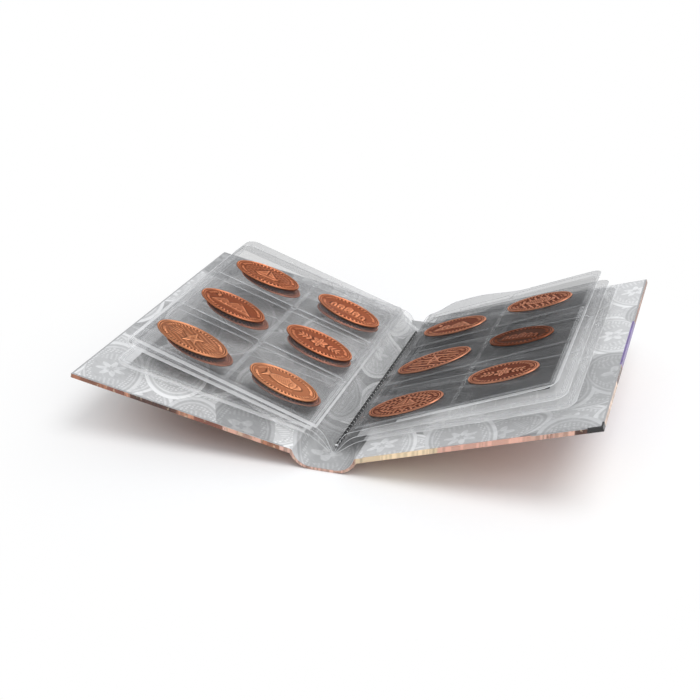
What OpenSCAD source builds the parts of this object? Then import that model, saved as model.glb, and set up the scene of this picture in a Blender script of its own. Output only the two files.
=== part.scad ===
// Pressed penny album, lying open at its middle on its rounded spine.
// Millimetres. X runs across the open album, Y along the spine away from the reader, Z up.
// The origin is the middle of the flat the spine rests on.

/* [Covers] */
// Width of a wrapped cover from the spine joint to the fore-edge
cover_w = 119; // [112:1:140]
// Height of a cover along the spine
cover_h = 195; // [180:1:230]
// Thickness of the grey board inside a cover
board_t = 1.8; // [1.4:0.1:3]
// Thickness of the printed wrap
wrap_t = 0.4; // [0.3:0.05:0.6]
// Width of the wrap turned in over the board
turn_in = 14; // [8:1:20]
// Thickness of the endpaper
paper_t = 0.2; // [0.15:0.05:0.3]
// How far the endpaper stops short of the cover edges
paper_inset = 1; // [0.5:0.5:4]
// Angle of the front cover above the table
front_angle = 11.5; // [10:0.5:12.5]
// Angle of the back cover above the table
back_angle = 17.3; // [15:0.1:17.8]

/* [Spine] */
// Half width of the flat the spine rests on
spine_flat = 6; // [5:0.5:8]
// Outer radius of the rounded spine
spine_r = 12; // [11.5:0.25:12.5]
// Angle each side of the spine curls up
spine_curl = 70; // [66:1:74]
// Thickness of the card in the spine
card_t = 1; // [0.8:0.1:1.2]

/* [Leaves] */
// Width of a leaf from its crease to the fore-edge
leaf_w = 110; // [106:1:116]
// Height of a leaf along the spine
leaf_h = 163; // [160:1:176]
// Thickness of the clear vinyl film
film_t = 0.3; // [0.2:0.05:0.4]
// Radius of a leaf's outer corners
corner_r = 7; // [3:1:12]
// Depth of a pocket between its two films
pocket_gap = 1.1; // [1:0.05:1.3]
// Pitch of the pocket columns
column_pitch = 50.4; // [48:0.2:51]
// Pitch of the pocket rows
row_pitch = 51; // [48:0.5:52]
// Middle of the inner weld, measured from the crease
inner_weld = 6.5; // [6:0.25:7]
// Width of a weld between two pockets
weld_w = 2.4; // [1.6:0.2:3]
// Slit left open at the mouth of a pocket
mouth_gap = 1.5; // [0.8:0.1:3]
// Middle of the pocket rows, measured from the middle of the leaf
row_shift = -2.2; // [-3:0.2:0]
// Width of the hinge strip on the two top leaves
strip_w = 4; // [3:0.5:4.5]
// Distance of the innermost crease from the stitching, across
crease_x = 5; // [4.6:0.1:5.4]
// Height of the innermost crease
crease_z = 12.9; // [12.7:0.1:13.3]
// Step across from one crease to the next
crease_step = 3.3; // [3:0.1:3.4]
// Step down from one crease to the next
crease_drop = 1.55; // [1.4:0.05:1.6]

/* [Stitching] */
// Distance from stitch to stitch
stitch_pitch = 3.8; // [3:0.2:6]
// Number of stitches
stitch_count = 40; // [24:1:40]
// Thickness of the thread
thread_d = 1.6; // [0.8:0.1:1.8]

/* [Pennies] */
// Length of a pressed penny
penny_l = 38.5; // [34:0.5:40]
// Width of a pressed penny
penny_w = 22; // [19:0.5:23]
// Thickness of a penny's plain field
penny_t = 0.5; // [0.4:0.05:0.6]
// Height of the rim and of the struck relief over the field
relief = 0.15; // [0.1:0.05:0.2]
// Width of the rim
rim_w = 0.7; // [0.4:0.1:1]

/* [Hidden] */
front_leaf_angle = [19.5, 18.6, 13.2];
back_leaf_angle = [22.1, 20, 18.6];
front_turn = [5, -4, 5, 4, 5, 3];
back_turn = [-11, -13, 8, -19, -2, -10];
inner_turn = [3, -2, 4, 2, 5, -1];
front_size = [1.04, 1.03, 1.05, 1.02, 1.02, 1.06];
back_size = [1.04, 1.03, 1.08, 1, 1.06, 1];
front_out = [-0.17, 0.35, 0, 0.49, 0.12, 1];
back_out = [-1, -1, -1, -1, -1, -1];
inner_out = -1;
front_up = [-0.05, -0.29, -0.03, -0.29, -0.28, -0.31];
back_up = [-0.41, -0.03, -0.37, -0.01, -0.71, 0.3];
inner_up = -0.25;
fit_gap = 0.15;
joint_gap = 0.3;
swing_gap = 0.5;
seat_gap = 0.05;
cover_t = wrap_t + board_t + paper_t;
spine_t = wrap_t + card_t + paper_t;
bead_r = spine_t / 2;
joint_start = bead_r + joint_gap;
hinge_x = spine_flat + (spine_r - bead_r) * sin(spine_curl);
hinge_z = spine_r - (spine_r - bead_r) * cos(spine_curl);
pocket_low = film_t / 2;
pocket_high = pocket_low + pocket_gap;
pocket_film = film_t - 0.05;
edge_gap = 0.3;
fold_half = 0.8;
fold_step = 0.4;
hole_d = 0.9;
core_d = 0.4;
through = 40;

// Places a cover piece: X out from the joint, Z out of the inner face, zero at the joint's axis.
module on_cover(side, angle) {
  if (side < 0) {
    mirror([1, 0, 0])
      translate([hinge_x, 0, hinge_z])
        rotate([0, -angle, 0])
          children();
  } else {
    translate([hinge_x, 0, hinge_z])
      rotate([0, -angle, 0])
        children();
  }
}

// Places a leaf piece: X out from the crease, Z out of the page, zero at the crease.
module on_leaf(side, level) {
  angle = side < 0 ? front_leaf_angle[level] : back_leaf_angle[level];
  if (side < 0) {
    mirror([1, 0, 0])
      translate([crease_x + level * crease_step, 0, crease_z - level * crease_drop])
        rotate([0, -angle, 0])
          children();
  } else {
    translate([crease_x + level * crease_step, 0, crease_z - level * crease_drop])
      rotate([0, -angle, 0])
        children();
  }
}

// A box between two corners.
module box(x0, x1, y0, y1, z0, z1) {
  translate([x0, y0, z0])
    cube([x1 - x0, y1 - y0, z1 - z0]);
}

// Stands a drawing of X and Z up along the spine.
module along_spine(length) {
  rotate([90, 0, 0])
    linear_extrude(height = length, center = true)
      children();
}

// Section of one curled side of the spine, between two radii.
module curl(outer, inner) {
  intersection() {
    translate([spine_flat, spine_r])
      difference() {
        circle(r = outer, $fn = 96);
        circle(r = inner, $fn = 96);
      }
    polygon([
      [spine_flat, spine_r],
      [spine_flat, spine_r - 3 * spine_r],
      [spine_flat + 3 * spine_r * sin(spine_curl), spine_r - 3 * spine_r * cos(spine_curl)]
    ]);
  }
}

// Section of one layer of the spine: flat middle and two curled sides.
module spine_layer(below, thick) {
  curl(spine_r - below, spine_r - below - thick);
  mirror([1, 0])
    curl(spine_r - below, spine_r - below - thick);
  translate([-spine_flat, below])
    square([2 * spine_flat, thick]);
}

// Rounded ridge of a spine joint, about the joint's axis.
module joint_ridge() {
  for (side = [-1, 1])
    translate([side * hinge_x, hinge_z])
      circle(r = bead_r, $fn = 48);
}

module spine_wrap() {
  color("peru") {
    along_spine(cover_h) {
      difference() {
        spine_layer(0, wrap_t);
        joint_ridge();
      }
      joint_ridge();
    }
    for (end = [-1, 1])
      translate([0, end * (cover_h - wrap_t) / 2, 0])
        along_spine(wrap_t)
          spine_layer(0, wrap_t + card_t);
  }
}

module spine_card() {
  color("gray")
    along_spine(cover_h - 2 * wrap_t)
      difference() {
        spine_layer(wrap_t, card_t);
        joint_ridge();
      }
}

module spine_liner() {
  color("silver")
    difference() {
      along_spine(cover_h)
        difference() {
          spine_layer(wrap_t + card_t, paper_t);
          joint_ridge();
        }
      stitch_holes();
    }
}

// Holes the thread runs through.
module stitch_holes() {
  for (i = [0:stitch_count])
    translate([0, (i - stitch_count / 2) * stitch_pitch, 0])
      cylinder(h = through, d = hole_d, center = true, $fn = 24);
}

// One folded vinyl sheet's gutter, from the stitching up to its two creases.
module fold(level) {
  base = spine_t + (2 - level) * film_t;
  start = [fold_half + level * fold_step, base + film_t / 2];
  inset = level == 0 ? swing_gap : 0;
  crease = [crease_x + level * crease_step - inset, crease_z - level * crease_drop];
  tilt = atan2(crease[1] - start[1], crease[0] - start[0]);
  side = [-sin(tilt), cos(tilt)] * film_t / 2;
  end = crease - [cos(tilt), sin(tilt)] * fit_gap;
  high = end + side;
  low = end - side;
  high_x = high[0] - (high[1] - base - film_t) / tan(tilt);
  low_x = low[0] - (low[1] - base) / tan(tilt);
  difference() {
    along_spine(leaf_h)
      polygon([
        [-low_x, base], [low_x, base], low, high, [high_x, base + film_t],
        [-high_x, base + film_t], [-high[0], high[1]], [-low[0], low[1]]
      ]);
    stitch_holes();
  }
}

module inner_fold() {
  color("lightgray", 0.5)
    fold(0);
}

module middle_fold() {
  color("lightgray", 0.5)
    fold(1);
}

module outer_fold() {
  color("lightgray", 0.5)
    fold(2);
}

module stitch_thread() {
  top = spine_t + 3 * film_t;
  span = stitch_count * stitch_pitch;
  color("black") {
    translate([0, 0, top + thread_d / 2])
      rotate([90, 0, 0])
        cylinder(h = span, d = core_d, center = true, $fn = 24);
    for (i = [0:stitch_count - 1])
      translate([0, (i + 0.5 - stitch_count / 2) * stitch_pitch, top + thread_d / 2])
        rotate([90, 0, 0])
          cylinder(h = stitch_pitch - 2 * core_d, d = thread_d, center = true, $fn = 24);
    for (i = [0:stitch_count])
      translate([0, (i - stitch_count / 2) * stitch_pitch, spine_t - paper_t])
        cylinder(h = top + thread_d / 2 + paper_t - spine_t, d = core_d, $fn = 24);
  }
}

// Grey board, its inner face cut back by the thickness of the wrap's turn-ins.
module cover_board() {
  far = joint_start + cover_w - wrap_t;
  half = cover_h / 2 - wrap_t;
  low = wrap_t - cover_t / 2;
  box(joint_start, far, -half, half, low, low + board_t - wrap_t);
  box(joint_start, far - turn_in, turn_in - half, half - turn_in, low + board_t - wrap_t, low + board_t);
}

// Printed wrap: outside sheet, three covered edges and their turn-ins.
module cover_wrap() {
  far = joint_start + cover_w;
  half = cover_h / 2;
  low = -cover_t / 2;
  difference() {
    box(joint_start, far, -half, half, low, low + wrap_t + board_t);
    box(0, far - wrap_t, wrap_t - half, half - wrap_t, low + wrap_t, low + board_t);
    box(0, far - wrap_t - turn_in, wrap_t + turn_in - half, half - wrap_t - turn_in, low + board_t / 2, cover_t);
  }
}

// Endpaper over the board and the turn-ins.
module cover_paper() {
  far = joint_start + cover_w - paper_inset;
  half = cover_h / 2 - paper_inset;
  box(joint_start, far, -half, half, cover_t / 2 - paper_t, cover_t / 2);
}

module front_board() {
  color("gray")
    on_cover(-1, front_angle)
      cover_board();
}

module front_wrap() {
  color("peru")
    on_cover(-1, front_angle)
      cover_wrap();
}

module front_endpaper() {
  color("silver")
    on_cover(-1, front_angle)
      cover_paper();
}

module back_board() {
  color("gray")
    on_cover(1, back_angle)
      cover_board();
}

module back_wrap() {
  color("peru")
    on_cover(1, back_angle)
      cover_wrap();
}

module back_endpaper() {
  color("silver")
    on_cover(1, back_angle)
      cover_paper();
}

// Backing film of a leaf from a given start, with rounded outer corners.
module leaf_film(start) {
  translate([0, 0, -film_t / 2])
    linear_extrude(height = film_t) {
      translate([start, -leaf_h / 2])
        square([leaf_w - corner_r - start, leaf_h]);
      translate([leaf_w - corner_r, corner_r - leaf_h / 2])
        square([corner_r, leaf_h - 2 * corner_r]);
      for (end = [-1, 1])
        translate([leaf_w - corner_r, end * (leaf_h / 2 - corner_r)])
          circle(r = corner_r, $fn = 48);
    }
}

// Hinge strip of a top leaf, between its crease and the panel.
module leaf_strip() {
  box(fit_gap, strip_w - fit_gap, -leaf_h / 2, leaf_h / 2, -film_t / 2, film_t / 2);
}

// Lower edge of a pocket row, row 0 nearest the head.
function row_foot(row) = row_shift + (0.5 - row) * row_pitch;

// Middle of a pocket, row 0 nearest the head and column 0 nearest the crease.
function pocket_middle(row, column) = [
  inner_weld + (column + 0.5) * column_pitch,
  row_shift + (1 - row) * row_pitch
];

// Front films of a leaf, one strip to a row, open along the edge toward the head.
module leaf_pockets() {
  for (row = [0:2])
    box(
      inner_weld - weld_w / 2, inner_weld + 2 * column_pitch + weld_w / 2,
      row_foot(row), row_foot(row) + row_pitch - mouth_gap,
      pocket_high, pocket_high + pocket_film
    );
}

// Welds that close each row at the foot, the sides and the middle.
module leaf_welds() {
  for (row = [0:2]) {
    box(
      inner_weld - weld_w / 2, inner_weld + 2 * column_pitch + weld_w / 2,
      row_foot(row), row_foot(row) + weld_w, pocket_low, pocket_high
    );
    for (column = [0:2])
      box(
        inner_weld + column * column_pitch - weld_w / 2, inner_weld + column * column_pitch + weld_w / 2,
        row_foot(row) + weld_w + fit_gap, row_foot(row) + row_pitch - mouth_gap, pocket_low, pocket_high
      );
  }
}

module front_top_strip() {
  color("lightgray", 0.5)
    on_leaf(-1, 0)
      leaf_strip();
}

module front_top_film() {
  color("lightgray", 0.5)
    on_leaf(-1, 0)
      leaf_film(strip_w + fit_gap);
}

module front_top_pockets() {
  color("lightgray", 0.4)
    on_leaf(-1, 0)
      leaf_pockets();
}

module front_top_welds() {
  color("gainsboro")
    on_leaf(-1, 0)
      leaf_welds();
}

module front_middle_film() {
  color("lightgray", 0.5)
    on_leaf(-1, 1)
      leaf_film(fit_gap);
}

module front_middle_pockets() {
  color("lightgray", 0.4)
    on_leaf(-1, 1)
      leaf_pockets();
}

module front_middle_welds() {
  color("gainsboro")
    on_leaf(-1, 1)
      leaf_welds();
}

module front_low_film() {
  color("lightgray", 0.5)
    on_leaf(-1, 2)
      leaf_film(fit_gap);
}

module front_low_pockets() {
  color("lightgray", 0.4)
    on_leaf(-1, 2)
      leaf_pockets();
}

module front_low_welds() {
  color("gainsboro")
    on_leaf(-1, 2)
      leaf_welds();
}

module back_top_strip() {
  color("lightgray", 0.5)
    on_leaf(1, 0)
      leaf_strip();
}

module back_top_film() {
  color("lightgray", 0.5)
    on_leaf(1, 0)
      leaf_film(strip_w + fit_gap);
}

module back_top_pockets() {
  color("lightgray", 0.4)
    on_leaf(1, 0)
      leaf_pockets();
}

module back_top_welds() {
  color("gainsboro")
    on_leaf(1, 0)
      leaf_welds();
}

module back_middle_film() {
  color("lightgray", 0.5)
    on_leaf(1, 1)
      leaf_film(fit_gap);
}

module back_middle_pockets() {
  color("lightgray", 0.4)
    on_leaf(1, 1)
      leaf_pockets();
}

module back_middle_welds() {
  color("gainsboro")
    on_leaf(1, 1)
      leaf_welds();
}

module back_low_film() {
  color("lightgray", 0.5)
    on_leaf(1, 2)
      leaf_film(fit_gap);
}

module back_low_pockets() {
  color("lightgray", 0.4)
    on_leaf(1, 2)
      leaf_pockets();
}

module back_low_welds() {
  color("gainsboro")
    on_leaf(1, 2)
      leaf_welds();
}

// Pressed oval outline, drawn in from its edge by a given amount.
module oval(inset, size) {
  polygon([
    for (i = [0:63])
      [(penny_l * size / 2 - inset) * cos(i * 5.625), (penny_w * size / 2 - inset) * sin(i * 5.625)]
  ]);
}

// Struck picture of a penny, chosen by its kind.
module picture(kind) {
  size = penny_w * 0.42;
  if (kind == 0) {
    for (i = [-2:2])
      translate([i * size * 0.42, -size * 0.3])
        difference() {
          square([size * 0.3, size * (0.62 - abs(i) * 0.1)]);
          translate([size * 0.1, 0])
            square([size * 0.1, size * 0.25]);
        }
  }
  if (kind == 1) {
    polygon([
      [-size * 0.9, -size * 0.2], [-size * 0.55, -size * 0.5],
      [size * 0.55, -size * 0.5], [size * 0.9, -size * 0.2]
    ]);
    polygon([[-size * 0.06, -size * 0.1], [-size * 0.06, size * 0.55], [-size * 0.7, -size * 0.1]]);
    polygon([[size * 0.06, -size * 0.1], [size * 0.06, size * 0.5], [size * 0.6, -size * 0.1]]);
  }
  if (kind == 2) {
    circle(r = size * 0.16, $fn = 24);
    for (i = [0:5])
      rotate(i * 60)
        translate([size * 0.36, 0])
          circle(r = size * 0.15, $fn = 24);
  }
  if (kind == 3) {
    polygon([
      [-size * 1.1, -size * 0.4], [-size * 0.5, size * 0.3], [-size * 0.2, size * 0.02],
      [size * 0.25, size * 0.5], [size * 1.1, -size * 0.4]
    ]);
  }
  if (kind == 4) {
    polygon([
      for (i = [0:31])
        [size * (0.9 * cos(i * 11.25)), size * (0.34 * sin(i * 11.25))]
    ]);
    polygon([[-size * 0.8, 0], [-size * 1.2, size * 0.32], [-size * 1.2, -size * 0.32]]);
  }
  if (kind == 5) {
    polygon([
      for (i = [0:9])
        [size * (i % 2 == 0 ? 0.58 : 0.26) * sin(i * 36), size * (i % 2 == 0 ? 0.58 : 0.26) * cos(i * 36)]
    ]);
  }
}

// One pressed penny: oval field, raised rim, inner line and struck picture.
// Size is its share of the common length and width.
module penny(kind, size) {
  linear_extrude(height = penny_t)
    oval(0, size);
  translate([0, 0, penny_t / 2])
    linear_extrude(height = penny_t / 2 + relief)
      difference() {
        oval(0, size);
        oval(rim_w, size);
      }
  translate([0, 0, penny_t / 2])
    linear_extrude(height = penny_t / 2 + relief)
      difference() {
        oval(rim_w + 2.4, size);
        oval(rim_w + 2.8, size);
      }
  translate([0, 0, penny_t / 2])
    linear_extrude(height = penny_t / 2 + relief)
      picture(kind);
}

// Room that a penny has in its pocket, to either side of the middle.
function spare_out(size) = (column_pitch - weld_w - penny_l * size) / 2 - edge_gap;

// Room that a penny has in its pocket, above and below the middle.
function spare_up(size) = row_pitch / 2 - weld_w - penny_w * size / 2 - edge_gap;

// Lays a penny in pocket 0 to 5 of a leaf, counted along the rows from the head.
// Out and up are the shares of the pocket's room by which it lies off the middle.
module pocketed(pocket, out, up, turn, kind, size = 1) {
  middle = pocket_middle(floor(pocket / 2), pocket % 2);
  translate([
    middle[0] + out * spare_out(size), middle[1] + up * spare_up(size), pocket_low + seat_gap
  ])
    rotate([0, 0, turn])
      penny(kind, size);
}

// One penny of a top leaf.
module top_penny(side, pocket) {
  turn = side < 0 ? front_turn[pocket] : back_turn[pocket];
  out = side < 0 ? front_out[pocket] : back_out[pocket];
  up = side < 0 ? front_up[pocket] : back_up[pocket];
  size = side < 0 ? front_size[pocket] : back_size[pocket];
  color("sienna")
    on_leaf(side, 0)
      pocketed(pocket, out, up, turn, side < 0 ? pocket : (pocket + 3) % 6, size);
}

module front_penny_1() {
  top_penny(-1, 0);
}

module front_penny_2() {
  top_penny(-1, 1);
}

module front_penny_3() {
  top_penny(-1, 2);
}

module front_penny_4() {
  top_penny(-1, 3);
}

module front_penny_5() {
  top_penny(-1, 4);
}

module front_penny_6() {
  top_penny(-1, 5);
}

module back_penny_1() {
  top_penny(1, 0);
}

module back_penny_2() {
  top_penny(1, 1);
}

module back_penny_3() {
  top_penny(1, 2);
}

module back_penny_4() {
  top_penny(1, 3);
}

module back_penny_5() {
  top_penny(1, 4);
}

module back_penny_6() {
  top_penny(1, 5);
}

// The six pennies of the leaf under the front page.
module front_middle_pennies() {
  color("sienna")
    on_leaf(-1, 1)
      for (pocket = [0:5])
        pocketed(pocket, inner_out, inner_up, inner_turn[(pocket + 1) % 6], (pocket + 3) % 6);
}

spine_wrap();
spine_card();
spine_liner();
inner_fold();
middle_fold();
outer_fold();
stitch_thread();
front_board();
front_wrap();
front_endpaper();
back_board();
back_wrap();
back_endpaper();
front_top_strip();
front_top_film();
front_top_pockets();
front_top_welds();
front_middle_film();
front_middle_pockets();
front_middle_welds();
front_low_film();
front_low_pockets();
front_low_welds();
back_top_strip();
back_top_film();
back_top_pockets();
back_top_welds();
back_middle_film();
back_middle_pockets();
back_middle_welds();
back_low_film();
back_low_pockets();
back_low_welds();
front_penny_1();
front_penny_2();
front_penny_3();
front_penny_4();
front_penny_5();
front_penny_6();
back_penny_1();
back_penny_2();
back_penny_3();
back_penny_4();
back_penny_5();
back_penny_6();
front_middle_pennies();
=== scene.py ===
"""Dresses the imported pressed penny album: printed covers, clear pocket leaves and struck pennies.

Sizes are in metres, in the frame of the CAD model, unless a docstring says otherwise.
"""

from __future__ import annotations

import logging
import math
from dataclasses import dataclass, field, replace
from enum import Enum
from typing import Any, Optional, Sequence, Union

import bpy
import numpy as np
from mathutils import Matrix, Vector


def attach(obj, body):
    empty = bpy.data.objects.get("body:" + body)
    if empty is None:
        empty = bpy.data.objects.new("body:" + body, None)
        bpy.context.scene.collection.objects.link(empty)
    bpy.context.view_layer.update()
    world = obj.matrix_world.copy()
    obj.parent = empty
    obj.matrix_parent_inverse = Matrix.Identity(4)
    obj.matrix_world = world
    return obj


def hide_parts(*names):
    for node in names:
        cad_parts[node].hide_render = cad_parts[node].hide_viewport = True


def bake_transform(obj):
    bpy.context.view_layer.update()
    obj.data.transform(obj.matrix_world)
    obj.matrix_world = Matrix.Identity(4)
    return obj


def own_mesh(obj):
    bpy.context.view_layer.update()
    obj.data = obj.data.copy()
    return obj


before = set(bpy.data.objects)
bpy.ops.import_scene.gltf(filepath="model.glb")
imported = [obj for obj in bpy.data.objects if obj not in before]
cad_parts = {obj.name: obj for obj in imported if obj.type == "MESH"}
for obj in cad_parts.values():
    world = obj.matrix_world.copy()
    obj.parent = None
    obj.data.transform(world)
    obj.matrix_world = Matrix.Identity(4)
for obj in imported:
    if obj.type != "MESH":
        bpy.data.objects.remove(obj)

MM = 0.001
LOG = logging.getLogger("album")
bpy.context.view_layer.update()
Number = Union[int, float]
Point = tuple[float, float]
Place = tuple[float, float, float]


class Side(Enum):
    """The two halves of the open album."""

    FRONT = -1
    BACK = 1

    @property
    def word(self) -> str:
        """The name the nodes of this half begin with."""
        return self.name.lower()


class Level(Enum):
    """The three leaves of a half, from the reader down to the cover."""

    TOP = 0
    MIDDLE = 1
    LOW = 2

    @property
    def word(self) -> str:
        """The name the nodes of this leaf hold."""
        return self.name.lower()


class Tone(Enum):
    """How bright a penny's copper is."""

    BRIGHT = 0
    WARM = 1
    DARK = 2
    DULL = 3
    RICH = 4


class Motif(Enum):
    """The picture struck on a penny."""

    HOUSES = 0
    BOAT = 1
    FLOWER = 2
    HILLS = 3
    FISH = 4
    STAR = 5


class Wire:
    """One output socket of a node tree, with the arithmetic that shader maths needs."""

    def __init__(self, paint: "Paint", socket: bpy.types.NodeSocket) -> None:
        """Keeps the socket and the material it belongs to.

        Args:
            paint: The material that owns the node tree.
            socket: The output socket.
        """
        self.paint = paint
        self.socket = socket

    def _math(self, operation: str, first: "Feed", second: "Feed" = 0.0) -> "Wire":
        """Adds one Math node.

        Args:
            operation: The Math node's operation.
            first: First value or link.
            second: Second value or link.

        Returns:
            The node's output.
        """
        return self.paint.node("ShaderNodeMath", {"operation": operation}, {0: first, 1: second})

    def __add__(self, other: "Feed") -> "Wire":
        """Sum."""
        return self._math("ADD", self, other)

    def __radd__(self, other: "Feed") -> "Wire":
        """Sum, reflected."""
        return self._math("ADD", other, self)

    def __sub__(self, other: "Feed") -> "Wire":
        """Difference."""
        return self._math("SUBTRACT", self, other)

    def __rsub__(self, other: "Feed") -> "Wire":
        """Difference, reflected."""
        return self._math("SUBTRACT", other, self)

    def __mul__(self, other: "Feed") -> "Wire":
        """Product."""
        return self._math("MULTIPLY", self, other)

    def __rmul__(self, other: "Feed") -> "Wire":
        """Product, reflected."""
        return self._math("MULTIPLY", other, self)

    def __truediv__(self, other: "Feed") -> "Wire":
        """Quotient."""
        return self._math("DIVIDE", self, other)

    def __rtruediv__(self, other: "Feed") -> "Wire":
        """Quotient, reflected."""
        return self._math("DIVIDE", other, self)

    def wave(self) -> "Wire":
        """The sine of the value."""
        return self._math("SINE", self)

    def root(self) -> "Wire":
        """The square root of the value."""
        return self._math("SQRT", self)

    def size(self) -> "Wire":
        """The value without its sign."""
        return self._math("ABSOLUTE", self)

    def floor(self) -> "Wire":
        """The whole part of the value."""
        return self._math("FLOOR", self)

    def bearing(self, other: "Feed") -> "Wire":
        """The angle of a point that lies this far up and the other value across."""
        return self._math("ARCTAN2", self, other)

    def rise(self, low: float, high: float) -> "Wire":
        """A smooth step from 0 at low to 1 at high, also where high is below low.

        Args:
            low: The value that gives 0.
            high: The value that gives 1.

        Returns:
            The step.
        """
        rising = low < high
        start, end, first, last = (low, high, 0.0, 1.0) if rising else (high, low, 1.0, 0.0)
        return self.paint.node(
            "ShaderNodeMapRange",
            {"interpolation_type": "SMOOTHSTEP"},
            {"Value": self, "From Min": start, "From Max": end, "To Min": first, "To Max": last},
        )


Feed = Union[Wire, Number]
Colour = tuple[float, float, float]
Ink = Union[Wire, Colour]
Stops = tuple[tuple[float, Colour], ...]
Spot = tuple[float, float, float, float, Colour]


class Paint:
    """A material under construction: adds nodes and joins them."""

    def __init__(self, name: str) -> None:
        """Makes an empty node material.

        Args:
            name: The material's name.
        """
        self.material = bpy.data.materials.new(name)
        self.material.use_nodes = True
        self.tree = self.material.node_tree
        self.tree.nodes.clear()

    def node(
        self,
        kind: str,
        settings: Optional[dict[str, Any]] = None,
        inputs: Optional[dict[Union[str, int], Any]] = None,
        output: Union[str, int] = 0,
    ) -> Wire:
        """Adds any node.

        Args:
            kind: The node's type.
            settings: Its settings, set first; stops gives a ramp's places and colours.
            inputs: Values or links by socket name or place.
            output: The output to return.

        Returns:
            The chosen output.
        """
        made = self.tree.nodes.new(kind)
        for key, value in (settings or {}).items():
            if key == "stops":
                ramp = made.color_ramp
                while len(ramp.elements) < len(value):
                    ramp.elements.new(0.5)
                for element, (place, colour) in zip(ramp.elements, value):
                    element.position = place
                    element.color = (*colour, 1.0)
            else:
                setattr(made, key, value)
        for key, value in (inputs or {}).items():
            socket = made.inputs[key]
            if isinstance(value, Wire):
                self.tree.links.new(value.socket, socket)
            elif isinstance(value, tuple) and len(value) == 3 and socket.type == "RGBA":
                socket.default_value = (*value, 1.0)
            else:
                socket.default_value = value
        return Wire(self, made.outputs[output])

    def place(self) -> Wire:
        """The point on the surface, in the object's own metres."""
        return self.node("ShaderNodeTexCoord", output="Object")

    def axis(self, point: Wire, number: int) -> Wire:
        """One coordinate of a point: 0 for X, 1 for Y and 2 for Z."""
        return self.node("ShaderNodeSeparateXYZ", {}, {0: point}, output=number)

    def mapped(self, point: Wire, turn: float, scale: Place) -> Wire:
        """A point turned about Z and scaled.

        Args:
            point: The point.
            turn: Degrees about Z.
            scale: Scale along each axis after the turn.

        Returns:
            The new point.
        """
        angle = (0.0, 0.0, math.radians(turn))
        turned = self.node("ShaderNodeMapping", {}, {"Vector": point, "Rotation": angle})
        return self.node("ShaderNodeMapping", {}, {"Vector": turned, "Scale": scale})

    def noise(self, point: Wire, scale: float, detail: float = 3.0, rough: float = 0.55) -> Wire:
        """Noise around 0.5.

        Args:
            point: Where it is read.
            scale: Its scale.
            detail: Its octaves.
            rough: Its roughness.

        Returns:
            The noise.
        """
        read = {"Vector": point, "Scale": scale, "Detail": detail, "Roughness": rough}
        return self.node("ShaderNodeTexNoise", {}, read)

    def mix(self, factor: Feed, first: Ink, second: Ink, blend: str = "MIX") -> Wire:
        """Two colours mixed.

        Args:
            factor: How much of the second.
            first: First colour.
            second: Second colour.
            blend: How they mix.

        Returns:
            The mixed colour.
        """
        settings = {"data_type": "RGBA", "blend_type": blend}
        return self.node("ShaderNodeMix", settings, {0: factor, 6: first, 7: second}, output=2)

    def tint(self, colour: Ink, level: Wire) -> Wire:
        """A colour scaled by a level."""
        grey = self.node("ShaderNodeCombineColor", {}, {0: level, 1: level, 2: level})
        return self.mix(1.0, colour, grey, "MULTIPLY")

    def bump(self, height: Wire, depth: float, strength: float = 1.0) -> Wire:
        """A bump normal.

        Args:
            height: The height, 0 to 1.
            depth: Its depth in metres.
            strength: How strong it is.

        Returns:
            The normal.
        """
        read = {"Height": height, "Distance": depth, "Strength": strength}
        return self.node("ShaderNodeBump", {}, read)

    def surface(self, inputs: dict[Union[str, int], Any]) -> bpy.types.Material:
        """Ends the material in a Principled shader.

        Args:
            inputs: Its values and links.

        Returns:
            The finished material.
        """
        return self.close(self.node("ShaderNodeBsdfPrincipled", {}, inputs))

    def close(self, shader: Wire) -> bpy.types.Material:
        """Joins a shader to the output.

        Args:
            shader: The shader.

        Returns:
            The finished material.
        """
        end = self.tree.nodes.new("ShaderNodeOutputMaterial")
        self.tree.links.new(shader.socket, end.inputs["Surface"])
        return self.material


@dataclass(frozen=True)
class OvalPlan:
    """Where the parts of a printed oval lie, as shares of its own cell.

    A pair is the reach that gives 0 and the reach that gives 1.
    """

    edge: Point = (0.47, 0.455)
    rim: Point = (0.40, 0.42)
    line_in: Point = (0.345, 0.36)
    line_out: Point = (0.385, 0.37)
    dots_in: Point = (0.26, 0.28)
    dots_out: Point = (0.345, 0.33)
    dot: Point = (0.42, 0.25)
    dots_per_metre: float = 520.0
    petal_tip: Point = (0.175, 0.155)
    petal_eye: Point = (0.05, 0.065)
    petal_swing: float = 0.055
    eye_swing: float = 0.02
    least_petals: float = 4.0
    more_petals: float = 3.9
    rays_start: Point = (0.27, 0.285)
    rays_end: Point = (0.255, 0.245)
    ray: Point = (-0.1, 0.4)
    ray_beat: float = 100.0


# Turn, pitch along, pitch across and seed of each sheet of printed ovals.
OVAL_SHEETS = (
    (24.0, 0.060, 0.034, 0.013),
    (-38.0, 0.056, 0.030, 0.171),
    (71.0, 0.066, 0.036, 0.322),
)


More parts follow.
